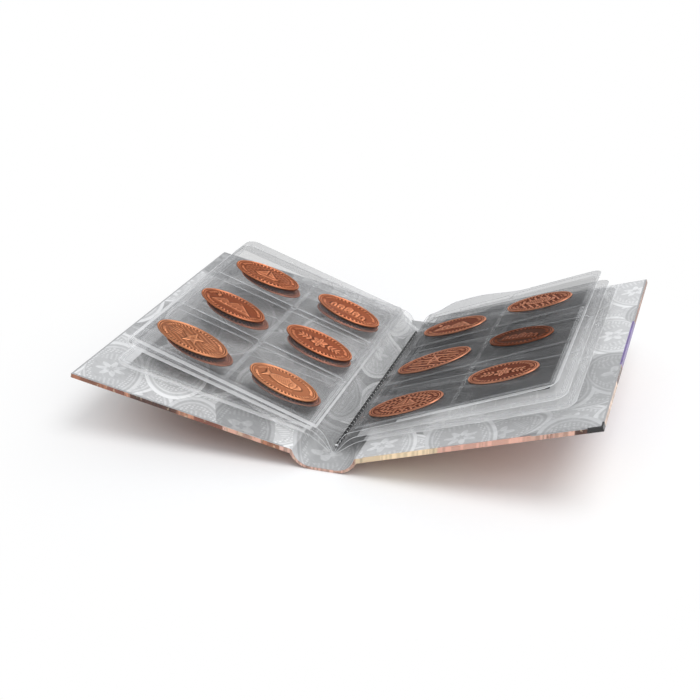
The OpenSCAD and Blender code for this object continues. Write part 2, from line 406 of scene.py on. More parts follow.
@dataclass(frozen=True)
class CoinPrint:
    """Printed collage of overlapping pressed ovals, glossy laminated paper.

    Attributes:
        name: Material name.
        stops: Colours that an oval may have.
        base: Colour between the ovals.
        gloss: Roughness of the lamination.
        accents: Spots of a set colour: x, y, half length, half width in metres and the colour.
        rim: Colour of the faces that look up, where the turned-in edge ends.
        shift: Shift of the whole layout in metres.
        wear: How strong the small marks in the print are.
        depth: How strongly the picture on an oval shows.
        shade: Painted shade: how much the print is darkened in the valley under the right-hand
            leaves, standing in for the shadow between the leaves.
        valley: Where that painted shade rises across the spine and along it.
        plan: Where the parts of an oval lie.
    """

    name: str
    stops: Stops
    base: Colour
    gloss: float
    accents: tuple[Spot, ...] = ()
    rim: Optional[Colour] = None
    shift: float = 0.0
    wear: float = 0.45
    depth: float = 0.5
    shade: float = 0.0
    valley: tuple[Point, Point] = ((-0.001, 0.003), (-0.086, -0.068))
    plan: OvalPlan = OvalPlan()

    def layer(
        self, paint: Paint, point: Wire, turn: float, length: float, width: float, seed: float
    ) -> tuple[Wire, Wire, Wire]:
        """One sheet of scattered ovals.

        Args:
            paint: The material.
            point: The point on the surface.
            turn: Angle of the ovals in degrees.
            length: Pitch of the ovals along them.
            width: Pitch of the ovals across them.
            seed: Shift that gives each sheet its own layout.

        Returns:
            Where the ovals are, their colour and their relief.
        """
        plan = self.plan
        offset = (seed, seed * 1.7, 0.0)
        shifted = paint.node("ShaderNodeVectorMath", {"operation": "ADD"}, {0: point, 1: offset})
        own = paint.mapped(shifted, turn, (1.0 / length, 1.0 / width, 0.0))
        cells = {"voronoi_dimensions": "2D", "feature": "F1"}
        read = {"Vector": own, "Scale": 1.0, "Randomness": 0.55}
        reach = paint.node("ShaderNodeTexVoronoi", cells, read, output="Distance")
        chance = paint.node("ShaderNodeTexVoronoi", cells, read, output="Color")
        pick = paint.node("ShaderNodeSeparateColor", {}, {0: chance}, output=0)
        inside = reach.rise(*plan.edge)
        rim = reach.rise(*plan.rim) * inside
        line = reach.rise(*plan.line_in) * reach.rise(*plan.line_out)
        spread = {"Vector": point, "Scale": plan.dots_per_metre, "Randomness": 0.2}
        beads = paint.node("ShaderNodeTexVoronoi", cells, spread, output="Distance")
        dots = beads.rise(*plan.dot) * reach.rise(*plan.dots_in) * reach.rise(*plan.dots_out)
        centre = paint.node("ShaderNodeTexVoronoi", cells, read, output="Position")
        local = paint.node("ShaderNodeVectorMath", {"operation": "SUBTRACT"}, {0: own, 1: centre})
        x = paint.axis(local, 0) * (length / width)
        y = paint.axis(local, 1)
        radius = (x * x + y * y).root()
        count = (pick * plan.more_petals).floor() + plan.least_petals
        beat = (y.bearing(x) * count + pick * 40.0).wave()
        tips = (radius - beat * plan.petal_swing).rise(*plan.petal_tip)
        petals = tips * (radius + beat * plan.eye_swing).rise(*plan.petal_eye)
        bars = (y * plan.ray_beat).wave().rise(*plan.ray)
        rays = bars * x.size().rise(*plan.rays_start) * reach.rise(*plan.rays_end)
        grain = paint.mapped(point, turn, (1.0, 1.9, 1.0))
        worn = paint.noise(grain, 210.0, 2.5, 0.5).rise(0.3, 0.6)
        picture = (petals * 0.75 + rays * 0.45) * (0.55 + worn * 0.45)
        relief = rim * 0.9 + line * 0.55 + dots * 0.7 + picture
        ink = paint.node("ShaderNodeValToRGB", {"stops": self.stops}, {0: pick})
        outside = reach.rise(*plan.edge[::-1])
        level = 0.87 - self.depth * 0.5 + relief * self.depth - outside * 0.2
        return inside, paint.tint(ink, level), relief

    def spots(self, paint: Paint, point: Wire, colour: Wire, relief: Wire) -> Wire:
        """Lays the spots of a set colour over the print.

        Args:
            paint: The material.
            point: The point on the surface.
            colour: The print's colour.
            relief: The print's relief, which shades the spots.

        Returns:
            The colour with its spots.
        """
        for x, y, length, width, ink in self.accents:
            dx = (paint.axis(point, 0) - x) / width
            dy = (paint.axis(point, 1) - y) / length
            reach = dx * dx + dy * dy
            ring = reach.rise(0.62, 0.68) * reach.rise(0.78, 0.72)
            shaded = paint.tint(ink, 0.82 + relief * 0.3 - ring * 0.25)
            colour = paint.mix(reach.rise(1.0, 0.9), colour, shaded)
        return colour

    def make(self) -> bpy.types.Material:
        """Builds the material.

        Returns:
            The printed paper.
        """
        paint = Paint(self.name)
        point = paint.place()
        ground = paint.noise(point, 60.0, 4.0).rise(0.3, 0.75)
        colour = paint.tint(self.base, 0.7 + ground * 0.4)
        relief: Wire = ground * 0.1
        for turn, length, width, seed in OVAL_SHEETS:
            inside, ink, raised = self.layer(paint, point, turn, length, width, seed + self.shift)
            colour = paint.mix(inside, colour, ink)
            relief = relief * (1.0 - inside) + raised * inside
        marks = paint.noise(paint.mapped(point, 33.0, (1.0, 2.2, 1.0)), 190.0, 3.0, 0.6)
        shadow, light = tuple(0.45 * c for c in self.base), self.stops[-2][1]
        colour = paint.mix(marks.rise(0.55, 0.62) * self.wear, colour, shadow)
        colour = paint.mix(marks.rise(0.42, 0.34) * self.wear, colour, light)
        if self.rim is not None:
            upward = paint.axis(paint.node("ShaderNodeTexCoord", output="Normal"), 2)
            colour = paint.mix(upward.rise(0.6, 0.85), colour, self.rim)
        colour = self.spots(paint, point, colour, relief)
        # Painted shade: darkens the print in the valley under the right-hand leaves, in place of
        # their shadow.
        if self.shade:
            over, along = self.valley
            depth = paint.axis(point, 0).rise(*over) * paint.axis(point, 1).rise(*along)
            colour = paint.tint(colour, 1.0 - depth * self.shade)
        scuff = paint.noise(point, 900.0, 3.0).rise(0.35, 0.75)
        fleck = paint.noise(point, 2600.0, 2.0).rise(0.66, 0.74)
        return paint.surface(
            {
                "Base Color": paint.mix(fleck * 0.12, colour, (0.8, 0.78, 0.76)),
                "Roughness": self.gloss + scuff * 0.16,
                "Coat Weight": 0.25,
                "Coat Roughness": 0.2,
                "Normal": paint.bump(relief * 0.7 + scuff * 0.2, 0.00012, 0.35),
            }
        )


@dataclass(frozen=True)
class ClearVinyl:
    """Clear soft vinyl film with faint haze, whitish streaks that are painted reflections, and a
    wavy gloss.

    Attributes:
        name: Material name.
        haze: Lowest share of light the film stops.
        streak: How much the painted reflection streaks add to it.
        tint: Colour of the haze.
        gloss: Roughness.
        shine: Strength of the reflection.
        scratch: How white the streaks are, painted reflection.
        head: Colour of the haze toward the head, if it differs there; on the margin film the
            lighter foot is painted light.
        ends: Distances along the spine between which it changes.
        ripple: Strength of the waves in its gloss.
        shade: Painted shade: dark haze added in a band near the foot, standing in for the shadow of
            the leaf above.
        band: Where that band rises at its head and at its foot.
    """

    name: str
    haze: float
    streak: float
    tint: Colour
    gloss: float
    shine: float = 0.4
    scratch: float = 0.35
    head: Optional[Colour] = None
    ends: Point = (-0.07, 0.07)
    ripple: float = 0.25
    shade: float = 0.0
    band: tuple[Point, Point] = ((-0.046, -0.064), (-0.0795, -0.069))

    def make(self) -> bpy.types.Material:
        """Builds the material.

        Returns:
            The film.
        """
        paint = Paint(self.name)
        point = paint.place()
        streak_noise = paint.noise(paint.mapped(point, 14.0, (16.0, 90.0, 16.0)), 1.0, 2.0, 0.5)
        cloud = paint.noise(point, 42.0, 1.5)
        fine = paint.noise(paint.mapped(point, -9.0, (400.0, 60.0, 200.0)), 1.0, 3.0)
        # The streaks are painted reflections: they add haze and whiten the film's colour.
        glare_streak = streak_noise.rise(0.5, 0.78)
        veil = self.haze + glare_streak * self.streak + cloud.rise(0.4, 0.7) * (self.streak * 0.5)
        wave = streak_noise * 0.7 + cloud * 0.6
        tint: Ink = self.tint
        # On the margin film the haze is lighter at the foot than at the head: painted light, as if
        # the foot caught the fill lamp.
        if self.head is not None:
            tint = paint.mix(paint.axis(point, 1).rise(*self.ends), self.tint, self.head)
        # Painted shade: a band of dark haze near the foot stands in for the shadow of the leaf
        # above.
        if self.shade:
            upper, lower = self.band
            along = paint.axis(point, 1)
            veil = veil + along.rise(*upper) * along.rise(*lower) * self.shade
        return paint.surface(
            {
                "Base Color": paint.mix(glare_streak * self.scratch, tint, (0.9, 0.91, 0.92)),
                "Roughness": self.gloss + fine.rise(0.4, 0.7) * 0.1,
                "IOR": 1.53,
                "Specular IOR Level": self.shine,
                "Alpha": veil,
                "Normal": paint.bump(wave, 0.0003, self.ripple),
            }
        )


@dataclass(frozen=True)
class StruckCopper:
    """Copper pressed through rollers, drawn lengthwise; lighter where raised and convex, partly
    rubbed wear and partly painted highlight, and dark brown at the foot of the relief, painted
    shade.

    Attributes:
        name: Material name.
        high: Colour of raised copper.
        low: Colour of the plain field.
        gloss: Roughness of raised copper.
    """

    name: str
    high: Colour
    low: Colour
    gloss: float

    def make(self) -> bpy.types.Material:
        """Builds the material.

        Returns:
            The copper.
        """
        paint = Paint(self.name)
        point = paint.place()
        # The raised attribute is lighter on high and convex relief, partly rubbed wear and partly
        # painted highlight, and below 0 at the foot of the relief, where painted shade darkens it.
        level = paint.node("ShaderNodeAttribute", {"attribute_name": "raised"}, output="Fac")
        raised = level.rise(0.0, 1.0)
        hollow_shade = level.rise(0.0, -0.8)
        drawn = paint.noise(paint.mapped(point, 0.0, (120.0, 2400.0, 400.0)), 1.0, 3.0)
        patch = paint.noise(point, 170.0, 4.0, 0.6)
        grain = paint.noise(point, 2200.0, 2.0)
        worn = raised * (0.75 + drawn.rise(0.3, 0.7) * 0.25)
        base = paint.mix(worn, self.low, self.high)
        base = paint.mix(hollow_shade * 0.85, base, tuple(0.3 * c for c in self.low))
        tarnish = patch.rise(0.52, 0.78)
        colour = paint.mix(tarnish * 0.4, base, tuple(0.6 * c for c in self.low))
        return paint.surface(
            {
                "Base Color": colour,
                "Metallic": 0.96 - tarnish * 0.12,
                "Specular Tint": (0.97, 0.74, 0.64, 1.0),
                "Roughness": self.gloss + (1.0 - raised) * 0.14 + tarnish * 0.12,
                "Normal": paint.bump(drawn * 0.6 + grain * 0.5, 0.00004, 0.5),
            }
        )


@dataclass(frozen=True)
class SewingThread:
    """Black polyester thread with a twisted lay.

    Attributes:
        name: Material name.
        colour: Colour of the thread.
    """

    name: str
    colour: Colour

    def make(self) -> bpy.types.Material:
        """Builds the material.

        Returns:
            The thread.
        """
        paint = Paint(self.name)
        point = paint.place()
        along = paint.axis(point, 1)
        over = paint.axis(point, 0)
        twist = ((along * 9000.0) + (over * 6000.0)).wave() * 0.5 + 0.5
        lint = paint.noise(point, 3000.0, 2.0)
        colour = paint.mix(twist * lint, self.colour, tuple(c + 0.025 for c in self.colour))
        return paint.surface(
            {
                "Base Color": colour,
                "Roughness": 0.55 + lint * 0.3,
                "Normal": paint.bump(twist, 0.0001, 0.6),
            }
        )


@dataclass(frozen=True)
class GreyBoard:
    """Pressed grey board with fibres.

    Attributes:
        name: Material name.
        colour: Mean colour.
    """

    name: str
    colour: Colour

    def make(self) -> bpy.types.Material:
        """Builds the material.

        Returns:
            The board.
        """
        paint = Paint(self.name)
        point = paint.place()
        pulp = paint.noise(point, 500.0, 4.0)
        laid = paint.mapped(point, 30.0, (300.0, 2400.0, 900.0))
        fibre = paint.noise(laid, 1.0, 2.0).rise(0.55, 0.7)
        colour = paint.tint(self.colour, 0.8 + pulp * 0.35 + fibre * 0.15)
        return paint.surface(
            {
                "Base Color": colour,
                "Roughness": 0.85 + pulp * 0.1,
                "Normal": paint.bump(pulp + fibre * 0.4, 0.0001, 0.5),
            }
        )


WARM_INKS: Stops = (
    (0.0, (0.055, 0.022, 0.016)),
    (0.18, (0.29, 0.098, 0.05)),
    (0.38, (0.55, 0.225, 0.12)),
    (0.55, (0.72, 0.36, 0.24)),
    (0.72, (0.82, 0.55, 0.46)),
    (0.86, (0.9, 0.72, 0.5)),
    (1.0, (0.4, 0.16, 0.09)),
)
GREY_INKS: Stops = (
    (0.0, (0.34, 0.342, 0.346)),
    (0.25, (0.6, 0.603, 0.607)),
    (0.5, (0.82, 0.823, 0.827)),
    (0.75, (0.96, 0.962, 0.965)),
    (1.0, (0.68, 0.683, 0.687)),
)
# Spots of ink where the wrap's coloured edges show.
EDGE_SPOTS: tuple[Spot, ...] = (
    (0.131, 0.002, 0.03, 0.016, (0.2, 0.13, 0.38)),
    (0.129, -0.0965, 0.005, 0.005, (0.012, 0.011, 0.011)),
    (0.037, -0.0975, 0.016, 0.021, (0.93, 0.72, 0.47)),
    (0.078, -0.0975, 0.016, 0.022, (0.8, 0.44, 0.34)),
)
# Colour of raised copper, colour of the field and roughness; the gap between the two colours
# carries painted highlight and shade on the relief.
COPPER: dict[Tone, tuple[Colour, Colour, float]] = {
    Tone.BRIGHT: ((0.74, 0.325, 0.165), (0.41, 0.155, 0.075), 0.32),
    Tone.WARM: ((0.74, 0.28, 0.14), (0.28, 0.078, 0.036), 0.32),
    Tone.DARK: ((0.42, 0.14, 0.075), (0.062, 0.015, 0.008), 0.3),
    Tone.RICH: ((1.0, 0.46, 0.28), (0.21, 0.046, 0.022), 0.28),
    Tone.DULL: ((0.6, 0.25, 0.15), (0.3, 0.1, 0.06), 0.42),
}


class Finishes:
    """All finishes of the album, made once."""

    def __init__(self) -> None:
        """Builds every material."""
        self.print = CoinPrint(
            "coin_print",
            WARM_INKS,
            base=(0.3, 0.1, 0.06),
            gloss=0.3,
            accents=EDGE_SPOTS,
            rim=(0.4, 0.402, 0.405),
        ).make()
        paper = CoinPrint(
            "coin_print_grey",
            GREY_INKS,
            base=(0.46, 0.462, 0.466),
            gloss=0.36,
            shift=0.041,
            wear=0.12,
            depth=0.34,
        )
        self.paper = paper.make()
        # The spine liner's print carries the painted shade of the valley.
        self.liner = replace(paper, name="coin_print_liner", shade=0.75).make()
        # Lighter at the foot than at the head: painted light, as if the foot margins caught the
        # fill lamp.
        self.film = ClearVinyl(
            "clear_vinyl",
            haze=0.5,
            streak=0.03,
            tint=(0.76, 0.763, 0.767),
            gloss=0.2,
            shine=0.3,
            scratch=0.2,
            head=(0.27, 0.271, 0.274),
        ).make()
        clear = ClearVinyl(
            "pocket_panel",
            haze=0.2,
            streak=0.03,
            tint=(0.13, 0.131, 0.133),
            gloss=0.22,
            shine=0.3,
            scratch=0.15,
        )
        # The lowest front leaf's panel carries the painted shadow band of the leaf above.
        low = replace(clear, name="pocket_panel_low", tint=(0.1, 0.101, 0.102), shade=0.33)
        dark = ClearVinyl(
            "pocket_panel_dark",
            haze=0.54,
            streak=0.02,
            tint=(0.11, 0.11, 0.111),
            gloss=0.28,
            shine=0.22,
            scratch=0.2,
            head=(0.03, 0.03, 0.031),
            ends=(-0.088, -0.04),
            ripple=0.1,
        )
        leaves = [(side, level) for side in Side for level in Level]
        sides = {Side.FRONT: clear.make(), Side.BACK: dark.make()}
        self.panel = {leaf: sides[leaf[0]] for leaf in leaves}
        self.panel[Side.FRONT, Level.LOW] = low.make()
        gutter = replace(
            clear, name="gutter_vinyl", haze=0.17, tint=(0.2, 0.202, 0.205), gloss=0.18
        )
        # The right-hand gutter film is tinted dark: painted shade of the valley between the leaves.
        dim = ClearVinyl(
            "gutter_vinyl_dark", 0.1, 0.02, tint=(0.1, 0.101, 0.102), gloss=0.2, shine=0.2
        )
        self.gutter = {Side.FRONT: gutter.make(), Side.BACK: dim.make()}
        self.pocket = ClearVinyl(
            "pocket_vinyl", 0.0, 0.02, tint=(0.6, 0.61, 0.62), gloss=0.16, shine=0.2, scratch=0.2
        ).make()
        weld = ClearVinyl(
            "welded_vinyl", 0.2, 0.15, tint=(0.66, 0.67, 0.68), gloss=0.2, shine=0.25
        ).make()
        # Whitish cut edges and pocket lips stand in for the highlights along them: painted
        # highlight.
        edge = ClearVinyl("vinyl_edge", 0.45, 0.2, tint=(0.78, 0.79, 0.8), gloss=0.14)
        seam = replace(edge, name="vinyl_seam", haze=0.4).make()
        faint = ClearVinyl(
            "faint_weld", 0.2, 0.06, tint=(0.4, 0.403, 0.407), gloss=0.22, shine=0.25
        ).make()
        self.weld = {leaf: weld for leaf in leaves}
        self.seam = {leaf: seam for leaf in leaves}
        self.weld[Side.BACK, Level.TOP] = self.seam[Side.BACK, Level.TOP] = faint
        self.edge = edge.make()
        # Near-white pinched vinyl at the stitches stands in for glints there: painted highlight.
        self.pucker = ClearVinyl(
            "pinched_vinyl", 0.9, 0.05, tint=(0.92, 0.923, 0.927), gloss=0.2
        ).make()
        self.thread = SewingThread("sewing_thread", (0.003, 0.003, 0.0035)).make()
        self.board = GreyBoard("grey_board", (0.42, 0.4, 0.37)).make()
        self.copper = {
            tone: StruckCopper(f"copper_{tone.name.lower()}", high, low, gloss).make()
            for tone, (high, low, gloss) in COPPER.items()
        }


class Sheet:
    """Collects points and faces of one mesh and turns them into a piece."""

    def __init__(self) -> None:
        """Starts an empty mesh."""
        self.points: list[Place] = []
        self.faces: list[tuple[int, ...]] = []
        self.kinds: list[int] = []

    def grid(self, rows: np.ndarray, kind: int = 0, loop: bool = False) -> None:
        """Adds a grid of quads.

        Args:
            rows: Points, shaped rows by columns by 3.
            kind: Material place.
            loop: Whether the columns close on themselves.
        """
        count, wide = rows.shape[:2]
        start = len(self.points)
        self.points.extend(map(tuple, rows.reshape(-1, 3)))
        last = wide if loop else wide - 1
        for i in range(count - 1):
            for j in range(last):
                a, b = start + i * wide + j, start + i * wide + (j + 1) % wide
                self.faces.append((a, b, b + wide, a + wide))
                self.kinds.append(kind)

    def face(self, ring: Sequence[Place]) -> None:
        """Adds one face of the first material.

        Args:
            ring: Its points in order.
        """
        start = len(self.points)
        self.points.extend(ring)
        self.faces.append(tuple(range(start, start + len(ring))))
        self.kinds.append(0)

    def bead(
        self, path: np.ndarray, up: np.ndarray, wide: float, high: float, kind: int = 0
    ) -> None:
        """Adds a thin ridge of diamond section along a path.

        Args:
            path: Points along the ridge, n by 3.
            up: Direction of its height.
            wide: Its width.
            high: Its height.
            kind: Material place.
        """
        along = np.gradient(path, axis=0)
        along /= np.linalg.norm(along, axis=1, keepdims=True) + 1e-12
        side = np.cross(along, up)
        side /= np.linalg.norm(side, axis=1, keepdims=True) + 1e-12
        rise = np.cross(side, along)
        across, over = side * wide / 2, rise * high / 2
        ring = [path + across, path + over, path - across, path - over]
        self.grid(np.stack(ring, axis=1), kind, loop=True)

    def finish(self, name: str, finishes: Sequence[bpy.types.Material]) -> bpy.types.Object:
        """Makes the object.

        Args:
            name: The piece's name.
            finishes: Its materials by place.

        Returns:
            The object, linked to the scene.
        """
        mesh = bpy.data.meshes.new(name)
        mesh.from_pydata([tuple(map(float, p)) for p in self.points], [], self.faces)
        for finish in finishes:
            mesh.materials.append(finish)
        mesh.polygons.foreach_set("material_index", self.kinds)
        mesh.polygons.foreach_set("use_smooth", [True] * len(self.faces))
        mesh.update()
        thing = bpy.data.objects.new(name, mesh)
        bpy.context.scene.collection.objects.link(thing)
        return thing


def dress(node: str, finish: bpy.types.Material) -> None:
    """Gives a CAD node a finish.

    Args:
        node: The node's name.
        finish: Its material.
    """
    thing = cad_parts[node]
    thing.data.materials.clear()
    thing.data.materials.append(finish)
    LOG.info("%s dressed", node)


def steps(low: float, high: float, values: np.ndarray) -> np.ndarray:
    """A smooth step of numbers.

    Args:
        low: Where it is 0.
        high: Where it is 1.
        values: The numbers.

    Returns:
        The step for each number.
    """
    t = np.clip((values - low) / (high - low), 0.0, 1.0)
    return t * t * (3.0 - 2.0 * t)


def curve(knots: Sequence[Point], count: int) -> np.ndarray:
    """A cubic curve through four control points.

    Args:
        knots: The four control points.
        count: How many points to give.

    Returns:
        The points, count by 2.
    """
    a, b, c, d = (np.array(k, float) for k in knots)
    t = np.linspace(0.0, 1.0, count)[:, None]
    return a * (1 - t) ** 3 + 3 * b * t * (1 - t) ** 2 + 3 * c * t * t * (1 - t) + d * t**3


@dataclass
class Spine:
    """Rounded spine with its joints and sewing, sizes in metres."""

    flat: float = 6 * MM
    radius: float = 12 * MM
    curl: float = math.radians(70)
    thick: float = 1.6 * MM
    height: float = 195 * MM
    stitch: float = 3.8 * MM
    stitches: int = 40
    fold: float = 2.5 * MM
    pinch: float = 1.5 * MM
    pinch_wide: float = 0.7 * MM
    pinch_high: float = 1.35 * MM
    pinch_up: float = 0.8 * MM

    def at(self, angle: float, depth: float) -> Point:
        """A point of the right side's section.

        Args:
            angle: Angle up the curl.
            depth: Depth in from the outside.

        Returns:
            Its x and z.
        """
        reach = self.radius - depth
        return self.flat + reach * math.sin(angle), self.radius - reach * math.cos(angle)

    @property
    def hinge(self) -> Point:
        """The joint's axis on the right side."""
        return self.at(self.curl, self.thick / 2)

    def dress(self, finishes: Finishes) -> None:
        """Finishes the spine's own nodes.

        Args:
            finishes: The album's finishes.
        """
        dress("spine_wrap", finishes.print)
        dress("spine_card", finishes.board)
        dress("spine_liner", finishes.liner)
        dress("stitch_thread", finishes.thread)

    def build(self, finishes: Finishes) -> bpy.types.Object:
        """Makes the vinyl pinched up between the stitches, near-white so that it shows as glints:
        painted highlight.

        Args:
            finishes: The album's finishes.

        Returns:
            The pinched vinyl.
        """
        sheet = Sheet()
        xs = np.linspace(-self.pinch / 2, self.pinch / 2, 5)
        zs = self.fold + self.pinch_up - np.abs(xs) * 0.3
        for place in range(self.stitches + 1):
            y = (place - self.stitches / 2) * self.stitch
            path = np.stack([xs, np.full_like(xs, y), zs], axis=-1)
            sheet.bead(path, np.array([0.0, 0.0, 1.0]), self.pinch_wide, self.pinch_high)
        piece = sheet.finish("pinched_vinyl", [finishes.pucker])
        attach(piece, "spine")
        LOG.info("%s made", piece.name)
        return piece


@dataclass
class Cover:
    """One hard cover and the printed joint that ties it to the spine."""

    side: Side
    angle: float
    spine: Spine
    thick: float = 2.4 * MM
    start: float = 1.1 * MM
    overlap: float = 3.0 * MM
    proud: float = 0.04 * MM
    outer_pull: float = 0.7 * MM
    inner_pull: float = 1.8 * MM
    lead: Point = (0.72, 0.92)
    bend_from: float = 0.8
    bend_to: float = 1.5 * MM

    def on(self, out: float, up: float) -> Point:
        """A point of the right-hand cover's section.

        Args:
            out: Distance out from the joint.
            up: Height over the middle of the cover.

        Returns:
            Its x and z.
        """
        x, z = self.spine.hinge
        c, s = math.cos(self.angle), math.sin(self.angle)
        return x + out * c - up * s, z + out * s + up * c

    def joint(self) -> tuple[np.ndarray, np.ndarray]:
        """Draws the printed joint in section.

        Returns:
            Its outer and its inner line.
        """
        spine, half = self.spine, self.thick / 2 + self.proud
        tangent = np.array([math.cos(spine.curl), math.sin(spine.curl)])
        out = np.array([math.cos(self.angle), math.sin(self.angle)])
        far = self.start + self.overlap
        lines = []
        for depth, up, pull in (
            (-self.proud, -half, self.outer_pull),
            (spine.thick + self.proud, half, self.inner_pull),
        ):
            lead = [spine.at(spine.curl * share, depth) for share in np.linspace(*self.lead, 4)]
            a, d = np.array(lead[-1]), np.array(self.on(self.start + 0.1 * MM, up))
            bend = curve([a, a + tangent * pull, d - out * pull, d], 12)
            lines.append(np.vstack([lead[:-1], bend, [self.on(far, up)]]))
        outer, inner = lines
        return outer, inner

    def build(self, finishes: Finishes) -> bpy.types.Object:
        """Makes the printed joint.

        Args:
            finishes: The album's finishes.

        Returns:
            The joint, curved between spine and cover.
        """
        outer, inner = self.joint()
        sign = self.side.value
        end = self.spine.height / 2 + self.proud
        ys = np.linspace(-end, end, 40)
        sheet = Sheet()
        for line, kind in ((outer, 0), (inner, 1)):
            rows = np.array([[(sign * x, y, z) for x, z in line] for y in ys])
            sheet.grid(rows, kind)
        for y in (ys[0], ys[-1]):
            rows = np.array([[(sign * x, y, z) for x, z in line] for line in (outer, inner)])
            sheet.grid(rows, 0)
        piece = sheet.finish(f"{self.side.word}_joint", [finishes.print, finishes.paper])
        x, z = self.spine.at(self.spine.curl * self.bend_from, self.spine.thick / 2)
        far_x, far_z = self.on(self.start + self.bend_to, 0.0)
        near, far = (sign * x, 0.0, z), (sign * far_x, 0.0, far_z)
        f"{self.side.word}_cover"
        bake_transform(piece)
        LOG.info("%s made", piece.name)
        return piece

    def dress(self, finishes: Finishes) -> None:
        """Finishes the cover's own nodes.

        Args:
            finishes: The album's finishes.
        """
        word = self.side.word
        dress(f"{word}_wrap", finishes.print)
        dress(f"{word}_board", finishes.board)
        dress(f"{word}_endpaper", finishes.paper)


@dataclass(frozen=True)
class Lie:
    """How a penny lies in its pocket.

    Attributes:
        turn: Its turn in degrees.
        out: Share of the pocket's spare width it lies out from the spine.
        up: Share of the pocket's spare height it lies toward the head.
        size: Its share of the common length and width.
    """

    turn: float
    out: float
    up: float
    size: float = 1.0


# Clear hems of the lower leaves, at the fore-edge and at the foot.
HEMS: dict[tuple[Side, Level], Point] = {
    (Side.BACK, Level.MIDDLE): (8.3 * MM, 12 * MM),
    (Side.BACK, Level.LOW): (11.6 * MM, 18 * MM),
    (Side.FRONT, Level.LOW): (6 * MM, 0.0),
}


